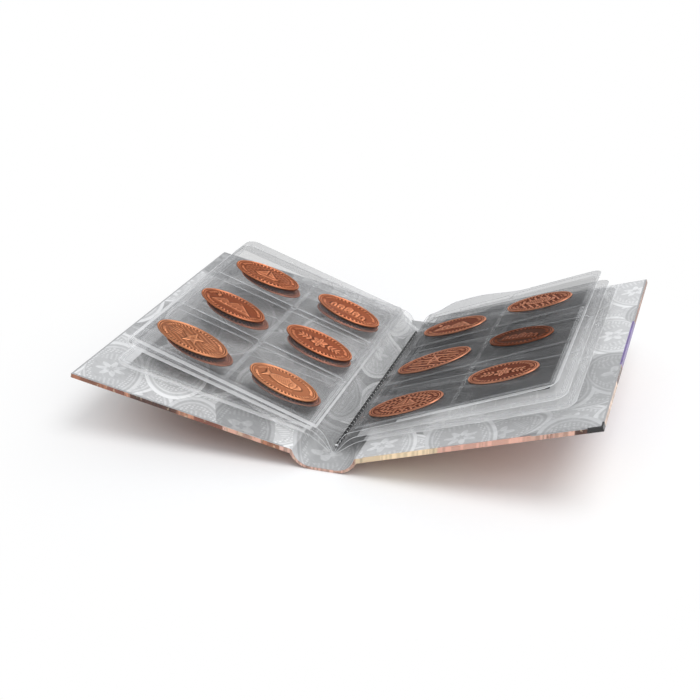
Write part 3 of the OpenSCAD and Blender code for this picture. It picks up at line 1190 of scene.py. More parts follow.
@dataclass
class Leaf:
    """One clear leaf: gutter, backing film, three pocket films and welds, sizes in metres."""

    side: Side
    level: Level
    angle: float
    width: float = 110 * MM
    height: float = 163 * MM
    corner: float = 7 * MM
    inner_weld: float = 6.5 * MM
    column: float = 50.4 * MM
    row: float = 51 * MM
    shift: float = -2.2 * MM
    weld: float = 2.4 * MM
    mouth: float = 1.5 * MM
    film: float = 0.3 * MM
    gap: float = 1.1 * MM
    strip: float = 4 * MM
    edge_gap: float = 0.3 * MM
    crease_out: float = 5 * MM
    crease_up: float = 12.9 * MM
    crease_step: float = 3.3 * MM
    crease_drop: float = 1.55 * MM
    seam_out: float = 0.8 * MM
    seam_step: float = 0.4 * MM
    liner_top: float = 1.6 * MM
    gutter_rise: float = 6.4 * MM
    gutter_run: float = 4.6 * MM
    wave_high: float = 0.11 * MM
    curl_high: float = 3.4 * MM
    bow: float = 0.25 * MM
    slack: float = 0.06 * MM
    slope: float = 0.45 * MM
    rim_wide: float = 0.35 * MM
    lip_wide: float = 0.3 * MM
    lip_high: float = 0.25 * MM
    ridge_wide: float = 0.42 * MM
    ridge_high: float = 0.24 * MM
    ridge_step: float = 0.85 * MM

    @property
    def word(self) -> str:
        """The name this leaf's nodes begin with."""
        return f"{self.side.word}_{self.level.word}"

    @property
    def body(self) -> str:
        """The body the panel rides on."""
        return f"{self.word}_leaf"

    @property
    def root(self) -> str:
        """The body at the outer end of the gutter."""
        return f"{self.side.word}_middle_leaf" if self.level is Level.TOP else self.body

    @property
    def curled(self) -> bool:
        """Whether the film's head margin curls up, as the right-hand page's does."""
        return self.side is Side.BACK and self.level is Level.TOP

    @property
    def crease(self) -> Point:
        """The crease on the right-hand side."""
        n = self.level.value
        return self.crease_out + n * self.crease_step, self.crease_up - n * self.crease_drop

    @property
    def span(self) -> Point:
        """How far out the welds begin and end."""
        half = self.weld / 2
        return self.inner_weld - half, self.inner_weld + 2 * self.column + half

    def put(self, local: np.ndarray) -> np.ndarray:
        """Places points of the leaf: out from the crease, along the spine, up from the film.

        Args:
            local: Points, any shape ending in 3.

        Returns:
            The points in the album's frame.
        """
        x, z = self.crease
        c, s = math.cos(self.angle), math.sin(self.angle)
        u, v, w = local[..., 0], local[..., 1], local[..., 2]
        return np.stack([self.side.value * (x + u * c - w * s), v, z + u * s + w * c], axis=-1)

    @property
    def up(self) -> np.ndarray:
        """The direction out of the page."""
        return np.array([-self.side.value * math.sin(self.angle), 0.0, math.cos(self.angle)])

    def sag(self, u: np.ndarray, v: np.ndarray) -> np.ndarray:
        """Slight waviness of the backing film.

        Args:
            u: Distance out from the crease.
            v: Distance along the spine.

        Returns:
            Height of the film.
        """
        n = self.level.value + 2 * self.side.value
        free = steps(0.02, self.width, u)
        wave = self.wave_high * free * (np.sin(v * 52 + n) * np.cos(u * 31 + 0.7 * n) - 1.0)
        if self.curled:
            start = self.foot(0) + self.row - 2.5 * MM
            curl = steps(self.strip, 22 * MM, u) * steps(64 * MM, 32 * MM, u)
            wave = wave + self.curl_high * curl * steps(start, self.height / 2, v)
        return wave

    def edge(self, v: np.ndarray) -> np.ndarray:
        """The film's outer edge.

        Args:
            v: Distances along the spine.

        Returns:
            How far out the film reaches at each.
        """
        past = np.clip(np.abs(v) - (self.height / 2 - self.corner), 0.0, self.corner)
        return self.width - self.corner + np.sqrt(np.maximum(self.corner**2 - past**2, 0.0))

    def spread(self) -> np.ndarray:
        """Spreads the film's points along the spine, closer together at the rounded corners.

        Returns:
            Their distances along the spine.
        """
        turn = np.sin(np.linspace(0.0, math.pi / 2, 9))
        bend = self.height / 2 - self.corner + self.corner * turn
        middle = np.linspace(-bend[0], bend[0], 40)
        return np.concatenate([-bend[:0:-1], middle, bend[1:]])

    def build_film(self, finishes: Finishes) -> bpy.types.Object:
        """Makes the backing film with its cut edge, whitish as a painted highlight.

        Args:
            finishes: The album's finishes.

        Returns:
            The film.
        """
        low, high = self.span
        foot, head = self.foot(2), self.foot(0) + self.row - self.mouth
        v = np.unique(np.concatenate([self.spread(), [foot, head]]))
        margin = np.linspace(high, self.width, 5)[1:]
        run = np.concatenate([[self.strip], np.linspace(low, high, 36), margin])
        u = np.minimum(run[None, :], self.edge(v)[:, None])
        vv = np.repeat(v[:, None], len(run), axis=1)
        local = np.stack([u, vv, self.sag(u, vv)], axis=-1)
        sheet = Sheet()
        sheet.grid(self.put(local), 0)
        middle = (local[:-1, :-1] + local[1:, 1:]).reshape(-1, 3) / 2
        near = 0.0 if self.side is Side.BACK else low
        outer, lower = HEMS.get((self.side, self.level), (0.0, 0.0))
        far, start = high - outer, foot + lower
        out, along = middle[:, 0], middle[:, 1]
        inside = (out > near) & (out < far) & (along > start) & (along < head)
        if self.curled:
            inside |= (out < 30 * MM) & (along < foot)
        sheet.kinds = [2 if within else 0 for within in inside]
        rim = np.concatenate([local[0, :-1], local[:, -1], local[-1, -2::-1]])
        # The rim bead is whitish: painted highlight along the cut edge.
        sheet.bead(self.put(rim), self.up, self.rim_wide, self.film, 1)
        kinds = [finishes.film, finishes.edge, finishes.panel[self.side, self.level]]
        return sheet.finish(f"{self.word}_sheet", kinds)

    def foot(self, row: int) -> float:
        """Lower edge of a pocket row.

        Args:
            row: The row, 0 at the head.

        Returns:
            Its place along the spine.
        """
        return self.shift + (0.5 - row) * self.row

    def build_pockets(self, finishes: Finishes) -> bpy.types.Object:
        """Makes the pocket films, welded down at three sides and open toward the head.

        Args:
            finishes: The album's finishes.

        Returns:
            The pocket films.
        """
        sheet = Sheet()
        low = self.film / 2 + 0.08 * MM
        high = self.film / 2 + self.gap + 0.1 * MM
        lines = self.inner_weld + self.column * np.arange(3)
        ramp = np.array([1.35, 1.5, 1.65, 2.7, 6.0]) * MM
        near = np.concatenate([np.linspace(-self.weld / 2, self.weld / 2, 3), ramp])
        beside = [np.concatenate([line + near, line - near]) for line in lines]
        us = np.unique(np.concatenate(beside + [np.linspace(lines[0], lines[-1], 25)]))
        us = us[(us >= lines[0] - self.weld / 2 - 1e-9) & (us <= lines[-1] + self.weld / 2 + 1e-9)]
        for row in range(3):
            foot = self.foot(row)
            top = foot + self.row - self.mouth
            hem = foot + np.array([0.0, 1.2, 2.4, 2.55, 2.7, 2.85, 3.5, 6.0]) * MM
            vs = np.unique(np.concatenate([hem, np.linspace(foot + 8 * MM, top, 14)]))
            u, v = np.meshgrid(us, vs)
            apart = np.min(np.abs(u[..., None] - lines), axis=-1) - self.weld / 2
            lift = steps(0.0, self.slope, apart) * steps(0.0, self.slope, v - foot - self.weld)
            across = np.clip(apart / (self.column / 2 - self.weld / 2), 0.0, 1.0)
            bow = self.bow * np.sin(across * math.pi / 2) * steps(top - 14 * MM, top, v)
            n = self.level.value + row + self.side.value
            slack = self.slack * np.sin(u * 210 + n) * np.sin(v * 170 + 2 * n)
            w = low + (high - low + slack) * lift + bow * lift
            local = np.stack([u, v, w], axis=-1)
            sheet.grid(self.put(local), 0)
            # The lip along each mouth is whitish: painted highlight.
            sheet.bead(self.put(local[-1]), self.up, self.lip_wide, self.lip_high, 1)
        kinds = [finishes.pocket, finishes.seam[self.side, self.level]]
        return sheet.finish(f"{self.word}_pocket_films", kinds)

    def build_welds(self, finishes: Finishes) -> bpy.types.Object:
        """Makes the ridges that the welding bar leaves.

        Args:
            finishes: The album's finishes.

        Returns:
            The ridges.
        """
        sheet = Sheet()
        level = self.film / 2 + 0.12 * MM
        size = self.ridge_wide, self.ridge_high
        for row in range(3):
            foot = self.foot(row)
            for ridge in (-self.ridge_step, 0.0, self.ridge_step):
                run = np.linspace(*self.span, 12)
                line = np.full_like(run, foot + self.weld / 2 + ridge)
                path = np.stack([run, line, np.full_like(run, level)], axis=-1)
                sheet.bead(self.put(path), self.up, *size, int(row == 2))
                for column in range(3):
                    run = np.linspace(foot + self.weld, foot + self.row - self.mouth, 8)
                    line = np.full_like(run, self.inner_weld + column * self.column + ridge)
                    path = np.stack([line, run, np.full_like(run, level)], axis=-1)
                    sheet.bead(self.put(path), self.up, *size, int(column == 2))
        kinds = [finishes.weld[self.side, self.level], finishes.weld[self.side, Level.LOW]]
        return sheet.finish(f"{self.word}_weld_ridges", kinds)

    def build_gutter(self, finishes: Finishes) -> bpy.types.Object:
        """Makes the curved film from the stitching to the panel.

        Args:
            finishes: The album's finishes.

        Returns:
            The gutter.
        """
        n = self.level.value
        base = self.liner_top + (2 - n) * self.film + 0.16 * MM
        x, z = self.crease
        c, s = math.cos(self.angle), math.sin(self.angle)
        end = np.array([x + self.strip * c, z + self.strip * s])
        foot = np.array([self.seam_out + n * self.seam_step, base])
        rise = np.array([x, z]) - foot
        rise /= np.linalg.norm(rise)
        run = np.array([c, s]) * self.gutter_run
        bend = curve([foot, foot + rise * self.gutter_rise, end - run, end], 18)
        section = np.vstack([[[0.0, base]], bend])
        vs = np.linspace(-self.height / 2, self.height / 2, 40)
        rows = np.array([[(self.side.value * px, v, pz) for px, pz in section] for v in vs])
        sheet = Sheet()
        sheet.grid(rows, 0)
        across = len(section) - 1
        flat = across - 3 if self.curled else across
        sheet.kinds = [2 * (place % across >= flat) for place in range(len(sheet.faces))]
        for row in (rows[0], rows[-1]):
            sheet.bead(row, np.array([0.0, 1.0, 0.0]), self.rim_wide, self.rim_wide, 1)
        kinds = [finishes.gutter[self.side], finishes.edge, finishes.panel[self.side, self.level]]
        piece = sheet.finish(f"{self.word}_gutter", kinds)
        self.root
        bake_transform(piece)
        return piece

    def build(self, finishes: Finishes) -> None:
        """Makes all of the leaf and hides the solids it stands for.

        Args:
            finishes: The album's finishes.
        """
        for piece, node, slot in (
            (self.build_film(finishes), f"{self.word}_film", "clear_vinyl"),
            (self.build_pockets(finishes), f"{self.word}_pockets", "clear_vinyl"),
            (self.build_welds(finishes), f"{self.word}_welds", "vinyl_weld"),
        ):
            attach(piece, self.body)
            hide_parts(node)
            piece.visible_shadow = False
            if self.curled and node.endswith("film"):
                slide = f"{self.side.word}_penny_1_slide"
                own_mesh(piece)
            LOG.info("%s made", piece.name)
        gutter = self.build_gutter(finishes)
        gutter.visible_shadow = False
        names = {Level.TOP: "inner_fold", Level.MIDDLE: "middle_fold", Level.LOW: "outer_fold"}
        nodes = [names[self.level]] if self.side is Side.FRONT else []
        if self.level is Level.TOP:
            nodes.append(f"{self.word}_strip")
        if nodes:
            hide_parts(*nodes)
        LOG.info("%s made", gutter.name)

    def pocket(self, place: int) -> Point:
        """Middle of a pocket.

        Args:
            place: The pocket, 0 to 5 along the rows from the head.

        Returns:
            Its distance out from the crease and along the spine.
        """
        row, column = divmod(place, 2)
        return self.inner_weld + (column + 0.5) * self.column, self.shift + (1 - row) * self.row

    def seat(self, place: int, lie: Lie, long: float, wide: float) -> Matrix:
        """Where the penny of a pocket lies.

        Args:
            place: The pocket.
            lie: How the penny lies in its pocket.
            long: Half the common length of a penny.
            wide: Half the common width of a penny.

        Returns:
            The penny's matrix in the album's frame.
        """
        u, v = self.pocket(place)
        u += lie.out * ((self.column - self.weld) / 2 - long * lie.size - self.edge_gap)
        v += lie.up * (self.row / 2 - self.weld - wide * lie.size - self.edge_gap)
        point = self.put(np.array([u, v, self.film / 2 + 0.05 * MM]))
        tilt = Matrix.Rotation(-self.side.value * self.angle, 4, "Y")
        turn = Matrix.Rotation(math.radians(self.side.value * lie.turn), 4, "Z")
        stretch = Matrix.Diagonal((lie.size, lie.size, 1.0, 1.0))
        return Matrix.Translation(Vector(point)) @ tilt @ turn @ stretch


class Die:
    """Heights of a struck picture, worked out on an oval in millimetres."""

    def __init__(self, x: np.ndarray, y: np.ndarray) -> None:
        """Keeps the points the picture is read at.

        Args:
            x: Distances along the oval.
            y: Distances across it.
        """
        self.x, self.y = x, y
        self.height = np.zeros_like(x)

    def strike(self, distance: np.ndarray, high: float, bevel: float = 0.3) -> None:
        """Raises what lies inside a shape.

        Args:
            distance: Signed distance from the shape, negative inside.
            high: How far it is raised.
            bevel: Width of its slope.
        """
        self.height = np.maximum(self.height, high * steps(bevel * 0.5, -bevel * 0.5, distance))

    def cut(self, distance: np.ndarray, left: float, bevel: float = 0.25) -> None:
        """Lowers what lies inside a shape.

        Args:
            distance: Signed distance from the shape, negative inside.
            left: The share of height that is left.
            bevel: Width of its slope.
        """
        inside = steps(bevel * 0.5, -bevel * 0.5, distance)
        self.height = self.height * (1.0 - (1.0 - left) * inside)

    def disc(self, x: float, y: float, long: float, wide: float, turn: float = 0.0) -> np.ndarray:
        """Distance from an oval.

        Args:
            x: Its middle along.
            y: Its middle across.
            long: Half its length.
            wide: Half its width.
            turn: Its turn in degrees.

        Returns:
            The signed distance.
        """
        a = math.radians(turn)
        px = (self.x - x) * math.cos(a) + (self.y - y) * math.sin(a)
        py = -(self.x - x) * math.sin(a) + (self.y - y) * math.cos(a)
        return (np.sqrt((px / long) ** 2 + (py / wide) ** 2) - 1.0) * min(long, wide)

    def block(self, x: float, y: float, long: float, wide: float) -> np.ndarray:
        """Distance from a rectangle.

        Args:
            x: Its middle along.
            y: Its middle across.
            long: Half its length.
            wide: Half its width.

        Returns:
            The signed distance.
        """
        return np.maximum(np.abs(self.x - x) - long, np.abs(self.y - y) - wide)

    def shape(self, corners: Sequence[Point]) -> np.ndarray:
        """Distance from a many-sided shape.

        Args:
            corners: Its corners in order.

        Returns:
            The signed distance.
        """
        best = np.full_like(self.x, 1e9)
        inside = np.zeros(self.x.shape, bool)
        for (ax, ay), (bx, by) in zip(corners, list(corners[1:]) + [corners[0]]):
            dx, dy = bx - ax, by - ay
            t = np.clip(((self.x - ax) * dx + (self.y - ay) * dy) / (dx * dx + dy * dy), 0.0, 1.0)
            best = np.minimum(best, np.hypot(self.x - ax - t * dx, self.y - ay - t * dy))
            if abs(dy) > 1e-9:
                hit = ((ay > self.y) != (by > self.y)) & (self.x < ax + (self.y - ay) / dy * dx)
                inside ^= hit
        return np.where(inside, -best, best)

    def hatch(self, turn: float, pitch: float, high: float) -> None:
        """Fine raised lines over the field inside the border.

        Args:
            turn: Their angle in degrees.
            pitch: Their spacing.
            high: How far they are raised.
        """
        a = math.radians(turn)
        beat = np.cos((self.x * math.cos(a) + self.y * math.sin(a)) * 2 * math.pi / pitch)
        within = steps(0.72, 0.68, np.hypot(self.x / 17.5, self.y / 10.0))
        self.height = np.maximum(self.height, high * steps(0.1, 0.6, beat) * within)

    def houses(self) -> None:
        """A row of gabled houses over a double ground line."""
        small, middling, large = (1.5, 3.0), (1.9, 4.1), (2.1, 5.0)
        row = ((-8.2, small), (-4.4, middling), (0.0, large), (4.4, middling), (8.2, small))
        foot = -2.8
        for i, (x, (wide, tall)) in enumerate(row):
            eaves = foot + tall
            self.strike(self.block(x, foot + tall / 2, wide, tall / 2), 0.2)
            self.strike(self.shape([(x - wide, eaves), (x + wide, eaves), (x, eaves + 1.2)]), 0.22)
            for k in range(2 + i % 2):
                self.cut(self.block(x - 0.8 + 0.8 * k, foot + tall * 0.62, 0.22, 0.5), 0.2)
            self.cut(self.block(x, foot + 0.7, 0.32, 0.7), 0.2)
        self.strike(self.block(0.0, -3.3, 11.0, 0.16), 0.18)
        self.strike(self.block(0.0, -4.0, 9.0, 0.14), 0.14)

    def boat(self) -> None:
        """A two-sailed boat on waves."""
        self.strike(self.shape([(-6.5, -1.4), (6.8, -1.4), (4.6, -3.4), (-4.6, -3.4)]), 0.22)
        self.cut(self.block(0.0, -2.1, 5.6, 0.12), 0.3)
        self.strike(self.shape([(-0.4, -0.8), (-0.4, 5.0), (-5.6, -0.8)]), 0.2)
        self.strike(self.shape([(0.5, -0.8), (0.5, 4.4), (4.8, -0.8)]), 0.2)
        for k in range(4):
            self.cut(self.block(-2.4, 0.4 + k, 3.0, 0.07), 0.55)
        wave = self.y + 4.3 + 0.28 * np.sin(self.x * 1.6)
        self.strike(np.maximum(np.abs(wave) - 0.16, np.abs(self.x) - 9.5), 0.16)
        wave = self.y + 5.0 + 0.24 * np.sin(self.x * 1.6 + 1.5)
        self.strike(np.maximum(np.abs(wave) - 0.13, np.abs(self.x) - 7.0), 0.13)

    def flower(self) -> None:
        """A six-petalled flower between two sprays of leaves."""
        for turn in range(30, 390, 60):
            x, y = 2.5 * math.cos(math.radians(turn)), 2.5 * math.sin(math.radians(turn))
            self.strike(self.disc(x, y, 1.75, 1.05, turn), 0.2)
            self.cut(self.disc(x, y, 1.2, 0.14, turn), 0.5)
        self.strike(self.disc(0.0, 0.0, 1.25, 1.25), 0.24)
        self.cut(self.disc(0.0, 0.0, 0.55, 0.55), 0.4)
        for side in (-1, 1):
            self.strike(self.block(side * 7.8, 0.0, 3.6, 0.14), 0.15)
            for k in range(3):
                x = side * (5.6 + 2.0 * k)
                for up in (-1, 1):
                    self.strike(self.disc(x, up * 1.25, 1.3, 0.52, side * up * 42), 0.18)

    def hills(self) -> None:
        """Two peaks, a low sun and trees."""
        ridge = [(-11, -3.2), (-5.2, 3.0), (-2.2, 0.2), (2.6, 4.6), (11, -3.2)]
        self.strike(self.shape(ridge), 0.2)
        self.cut(self.shape([(-5.2, 3.0), (-6.2, 1.8), (-5.0, 1.2), (-4.2, 1.9)]), 0.35)
        self.cut(self.shape([(2.6, 4.6), (1.2, 3.1), (2.6, 2.2), (4.2, 3.1)]), 0.35)
        self.strike(self.disc(-9.4, 3.0, 1.1, 1.1), 0.2)
        for k in range(5):
            x = -6.0 + 2.9 * k
            self.strike(self.shape([(x - 0.8, -3.0), (x + 0.8, -3.0), (x, -0.7)]), 0.27, 0.2)
        self.strike(self.block(0.0, -3.9, 10.0, 0.15), 0.16)

    def fish(self) -> None:
        """A scaled fish over ripples."""
        self.strike(self.disc(0.6, 0.4, 8.2, 3.2), 0.22)
        self.strike(self.shape([(-6.4, 0.4), (-10.6, 3.6), (-9.4, 0.4), (-10.6, -2.8)]), 0.2)
        self.strike(self.shape([(-1.4, 3.2), (3.4, 3.0), (0.6, 5.0)]), 0.18)
        rows = np.sin(self.y * 3.6)
        scale = np.sin(self.x * 2.6 + np.where(rows > 0, 0.0, 1.5)) * rows
        flank = steps(0.3, -0.8, self.disc(-0.6, 0.4, 6.0, 2.8))
        self.height -= 0.05 * steps(0.2, 0.8, np.abs(scale)) * flank
        self.cut(self.disc(6.2, 1.2, 0.42, 0.42), 0.1)
        self.cut(np.abs(self.disc(4.6, 0.4, 1.8, 2.8)) - 0.12, 0.4)
        for k in range(3):
            self.strike(self.block(-5.0 + 5.0 * k, -4.4, 1.6, 0.14), 0.14)

    def star(self) -> None:
        """A five-pointed star among rays."""
        corners = []
        for k in range(10):
            r, a = (5.2, 2.2)[k % 2], math.radians(36 * k)
            corners.append((r * math.sin(a), r * math.cos(a)))
        self.strike(self.shape(corners), 0.22)
        self.cut(self.disc(0.0, 0.0, 1.0, 1.0), 0.6)
        for side in (-1, 1):
            for k in range(5):
                half = 2.8 - 0.5 * abs(k - 2)
                self.strike(self.block(side * 8.4, -2.8 + 1.4 * k, half, 0.18), 0.16)

    def border(self, long: float, wide: float, motif: Motif) -> None:
        """Rim, line and a ring of dashes round the picture.

        Args:
            long: Half the oval's length.
            wide: Half its width.
            motif: The picture, which varies the dashes.
        """
        reach = np.sqrt((self.x / long) ** 2 + (self.y / wide) ** 2)
        angle = np.arctan2(self.y / wide, self.x / long)
        line = steps(0.885, 0.9, reach) * steps(0.925, 0.91, reach)
        self.height = np.maximum(self.height, 0.28 * steps(0.935, 0.96, reach))
        self.height = np.maximum(self.height, 0.16 * line)
        count = 40 + 2 * motif.value
        beat = np.cos(angle * count)
        gaps = steps(0.1, 0.16, np.abs(np.sin(angle)))
        ring = steps(0.745, 0.765, reach) * steps(0.855, 0.835, reach)
        self.height = np.maximum(self.height, 0.26 * ring * steps(-0.1, 0.35, beat) * gaps)


@dataclass
class Pennies:
    """Pressed pennies, one mesh to a picture and finish, sizes in millimetres."""

    finishes: Finishes
    long: float = 19.25
    wide: float = 11.0
    thick: float = 0.5
    spread: float = 1.1
    deepen: float = 1.4
    rings: int = 72
    spokes: int = 288
    made: dict[tuple[Motif, Tone], bpy.types.Mesh] = field(default_factory=dict)

    @staticmethod
    def mean(height: np.ndarray, rings: int, spokes: int) -> np.ndarray:
        """Mean height around each point of a struck face.

        Args:
            height: Heights, rings by spokes.
            rings: How many rings to either side count.
            spokes: How many spokes to either side count.

        Returns:
            The means.
        """
        turned = [np.roll(height, k, axis=1) for k in range(-spokes, spokes + 1)]
        padded = np.pad(sum(turned) / len(turned), ((rings, rings), (0, 0)), "edge")
        moved = [padded[k : k + len(height)] for k in range(2 * rings + 1)]
        return sum(moved) / len(moved)

    def mesh(self, motif: Motif, tone: Tone) -> bpy.types.Mesh:
        """The struck blank of one picture and finish.

        Args:
            motif: The picture.
            tone: The copper's finish.

        Returns:
            Its mesh.
        """
        key = (motif, tone)
        if key in self.made:
            return self.made[key]
        half = self.rings // 2
        reach = np.concatenate([np.linspace(0.02, 0.72, half), np.linspace(0.73, 0.985, half)])
        spoke = np.linspace(0.0, 2 * math.pi, self.spokes, endpoint=False)
        x = self.long * reach[:, None] * np.cos(spoke)
        y = self.wide * reach[:, None] * np.sin(spoke)
        die = Die(x / self.spread, y / self.spread)
        pitch, high = (2.6, 0.11) if tone is Tone.RICH else (2.0, 0.06)
        turns = {Motif.BOAT: (60.0, -50.0), Motif.STAR: (60.0,)}.get(motif, ())
        if (motif, tone) == (Motif.FISH, Tone.RICH):
            turns = (40.0,)
        for turn in turns:
            die.hatch(turn, pitch, high)
        pictures = {
            Motif.HOUSES: die.houses,
            Motif.BOAT: die.boat,
            Motif.FLOWER: die.flower,
            Motif.HILLS: die.hills,
            Motif.FISH: die.fish,
            Motif.STAR: die.star,
        }
        pictures[motif]()
        die.height *= self.deepen
        die.border(self.long / self.spread, self.wide / self.spread, motif)
        top = np.stack([x, y, self.thick + die.height], axis=-1)
        rolled = (
            (0.996, self.thick * 0.97 + 0.1),
            (1.0, self.thick * 0.7),
            (1.0, self.thick * 0.25),
            (0.99, 0.02),
        )
        wall = []
        for grow, z in rolled:
            rim_x, rim_y = self.long * grow * np.cos(spoke), self.wide * grow * np.sin(spoke)
            wall.append(np.stack([rim_x, rim_y, np.full_like(spoke, z)], axis=-1))
        rows = np.concatenate([top, np.array(wall)]) * MM
        sheet = Sheet()
        sheet.grid(rows, 0, loop=True)
        sheet.face([tuple(p) for p in rows[0]])
        sheet.face([tuple(p) for p in rows[-1][::-1]])
        name = f"penny_{motif.name.lower()}_{tone.name.lower()}"
        thing = sheet.finish(name, [self.finishes.copper[tone]])
        mesh = thing.data
        bpy.data.objects.remove(thing)
        # Lighter on high and convex relief, partly rubbed wear and partly painted highlight; darker
        # at the foot of the relief, painted shade.
        fine = die.height - self.mean(die.height, 3, 5)
        coarse = np.clip(die.height / 0.26, 0.0, 1.0)
        level = 0.45 * coarse + 0.75 * np.clip(fine / 0.07, -1.0, 1.0)
        raised = np.concatenate([level.ravel(), np.full(len(wall) * self.spokes, 0.6)])
        extra = len(mesh.vertices) - len(raised)
        raised = np.concatenate([raised, np.full(extra, 0.5)]).astype(np.float32)
        mesh.attributes.new("raised", "FLOAT", "POINT").data.foreach_set("value", raised)
        self.made[key] = mesh
        return mesh

    def lay(
        self, leaf: Leaf, place: int, lie: Lie, motif: Motif, tone: Tone, name: str
    ) -> bpy.types.Object:
        """Lays one penny in a pocket.

        Args:
            leaf: The leaf.
            place: The pocket.
            lie: How the penny lies there.
            motif: Its picture.
            tone: Its finish.
            name: The piece's name.

        Returns:
            The penny.
        """
        thing = bpy.data.objects.new(name, self.mesh(motif, tone))
        bpy.context.scene.collection.objects.link(thing)
        thing.matrix_world = leaf.seat(place, lie, self.long * MM, self.wide * MM)
        return thing

    def fill(self, leaf: Leaf, lies: Sequence[Lie], tones: Sequence[Tone]) -> None:
        """Fills a leaf's six pockets.

        Args:
            leaf: The leaf.
            lies: How each penny lies.
            tones: Finish of each penny.
        """
        for place in range(6):
            if leaf.level is Level.TOP:
                kind = place if leaf.side is Side.FRONT else (place + 3) % 6
                node = f"{leaf.side.word}_penny_{place + 1}"
                body = node
            else:
                kind = (place + leaf.level.value + 2) % 6
                node, body = f"{leaf.word}_pennies", leaf.body
            name = f"{leaf.word}_struck_{place + 1}"
            piece = self.lay(leaf, place, lies[place], Motif(kind), tones[place], name)
            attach(piece, body)
            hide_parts(node)
        LOG.info("%s pennies laid", leaf.word)


@dataclass
class Studio:
    """White sweep, soft lights and the camera, solved from the photograph."""

    eye: Place = (0.17364, -0.5911, 0.29428)
    aim: Place = (-0.01768, 0.0, 0.02092)
    lens: float = 63.41
    sensor: float = 36.0
    middle: Place = (0.0, 0.0, 0.02)
    floor: float = 6.0
    fade: Point = (0.1, 0.24)
    sky: Colour = (0.95, 0.97, 1.0)
    sky_strength: float = 0.55

    def build_camera(self) -> None:
        """Makes the camera."""
        data = bpy.data.cameras.new("camera")
        data.lens = self.lens
        data.sensor_width = self.sensor
        data.clip_start, data.clip_end = 0.01, 50.0
        camera = bpy.data.objects.new("camera", data)
        bpy.context.scene.collection.objects.link(camera)
        camera.location = self.eye
        camera.rotation_mode = "QUATERNION"
        look = Vector(self.aim) - Vector(self.eye)
        camera.rotation_quaternion = look.to_track_quat("-Z", "Y")
        bpy.context.scene.camera = camera

    def build_floor(self) -> None:
        """Makes the white floor, which keeps the album's shadow near the album and glows white
        further out, lightening the outer part of that shadow: painted light.
        """
        paint = Paint("white_sweep")
        point = paint.place()
        measure = {"operation": "LENGTH"}
        length = paint.node("ShaderNodeVectorMath", measure, {0: point}, output="Value")
        path = "ShaderNodeLightPath"
        seen = paint.node(path, output="Is Camera Ray") + paint.node(path, output="Is Glossy Ray")
        seen = seen + paint.node(path, output="Is Transmission Ray")
        grain = paint.noise(point, 300.0, 2.0)
        white = paint.mix(grain, (0.9, 0.9, 0.9), (0.92, 0.92, 0.92))
        matt = paint.node("ShaderNodeBsdfDiffuse", {}, {"Color": white})
        glow = paint.node("ShaderNodeEmission", {}, {"Color": (1.0, 1.0, 1.0), "Strength": 1.0})
        # From 0.1 m out the floor glows white for camera, glossy and transmission rays, lightening
        # the outer part of the album's shadow: painted light.
        fade = length.rise(*self.fade) * seen.rise(0.0, 1.0)
        material = paint.close(paint.node("ShaderNodeMixShader", {}, {0: fade, 1: matt, 2: glow}))
        sheet = Sheet()
        far, low = self.floor, -0.1 * MM
        sheet.face([(-far, -far, low), (far, -far, low), (far, far, low), (-far, far, low)])
        sheet.finish("floor", [material])

    def lamp(self, name: str, place: Place, size: float, power: float) -> None:
        """Adds a soft lamp that looks at the album.

        Args:
            name: Its name.
            place: Where it hangs.
            size: Its width.
            power: Its power in watts.
        """
        data = bpy.data.lights.new(name, "AREA")
        data.shape = "DISK"
        data.size = size
        data.energy = power
        thing = bpy.data.objects.new(name, data)
        bpy.context.scene.collection.objects.link(thing)
        thing.location = place
        thing.rotation_mode = "QUATERNION"
        look = Vector(self.middle) - Vector(place)
        thing.rotation_quaternion = look.to_track_quat("-Z", "Y")

    def build(self) -> None:
        """Makes camera, floor, lamps and surroundings."""
        scene = bpy.context.scene
        scene.view_settings.view_transform = "Standard"
        self.build_camera()
        self.build_floor()
        self.lamp("key", (0.5, -0.15, 1.45), size=1.0, power=12.0)
        self.lamp("fill", (0.9, -0.9, 1.1), size=1.2, power=5.0)
        self.lamp("rear", (0.3, 1.3, 0.7), size=0.9, power=3.1)
        world = bpy.data.worlds.new("surround")
        scene.world = world
        world.use_nodes = True
        sky = world.node_tree.nodes["Background"]
        sky.inputs["Color"].default_value = (*self.sky, 1.0)
        sky.inputs["Strength"].default_value = self.sky_strength
        LOG.info("studio made")


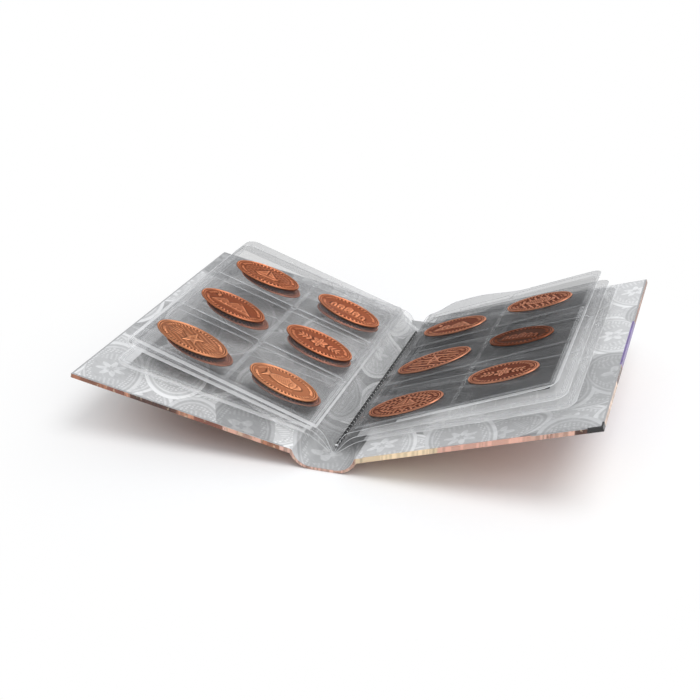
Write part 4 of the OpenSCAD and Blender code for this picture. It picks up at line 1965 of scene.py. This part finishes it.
# How far each cover and leaf stands up from the table, in degrees.
COVER_ANGLE: dict[Side, float] = {Side.FRONT: 11.5, Side.BACK: 17.3}
LEAF_ANGLES: dict[Side, Place] = {Side.FRONT: (19.5, 18.6, 13.2), Side.BACK: (22.1, 20.0, 18.6)}
# How the pennies of the open pages lie, and their copper, along the rows from the head.
PAGE_LIES: dict[Side, tuple[Lie, ...]] = {
    Side.FRONT: (
        Lie(5, -0.17, -0.05, 1.04),
        Lie(-4, 0.35, -0.29, 1.03),
        Lie(5, 0, -0.03, 1.05),
        Lie(4, 0.49, -0.29, 1.02),
        Lie(5, 0.12, -0.28, 1.02),
        Lie(3, 1, -0.31, 1.06),
    ),
    Side.BACK: (
        Lie(-11, -1, -0.41, 1.04),
        Lie(-13, -1, -0.03, 1.03),
        Lie(8, -1, -0.37, 1.08),
        Lie(-19, -1, -0.01, 1),
        Lie(-2, -1, -0.71, 1.06),
        Lie(-10, -1, 0.3, 1),
    ),
}
PAGE_TONES: dict[Side, tuple[Tone, ...]] = {
    Side.FRONT: (Tone.WARM, Tone.WARM, Tone.WARM, Tone.WARM, Tone.BRIGHT, Tone.BRIGHT),
    Side.BACK: (Tone.RICH, Tone.RICH, Tone.RICH, Tone.DARK, Tone.RICH, Tone.RICH),
}
# How the pennies of the leaf under the front page lie.
UNDER_LIES = tuple(Lie(turn, -1.0, -0.25) for turn in (-2, 4, 2, 5, -1, 3))


def main() -> None:
    """Builds the studio and dresses the album, piece by piece."""
    logging.basicConfig(level=logging.INFO, format="%(name)s: %(message)s")
    bpy.context.scene.cycles.transparent_max_bounces = 48
    Studio().build()
    finishes = Finishes()
    spine = Spine()
    spine.dress(finishes)
    spine.build(finishes)
    pennies = Pennies(finishes)
    for side in Side:
        cover = Cover(side, math.radians(COVER_ANGLE[side]), spine)
        cover.dress(finishes)
        cover.build(finishes)
        for level in Level:
            leaf = Leaf(side, level, math.radians(LEAF_ANGLES[side][level.value]))
            leaf.build(finishes)
            if level is Level.TOP:
                pennies.fill(leaf, PAGE_LIES[side], PAGE_TONES[side])
            elif side is Side.FRONT and level is Level.MIDDLE:
                pennies.fill(leaf, UNDER_LIES, [Tone.DULL] * len(UNDER_LIES))


if __name__ == "__main__":
    main()
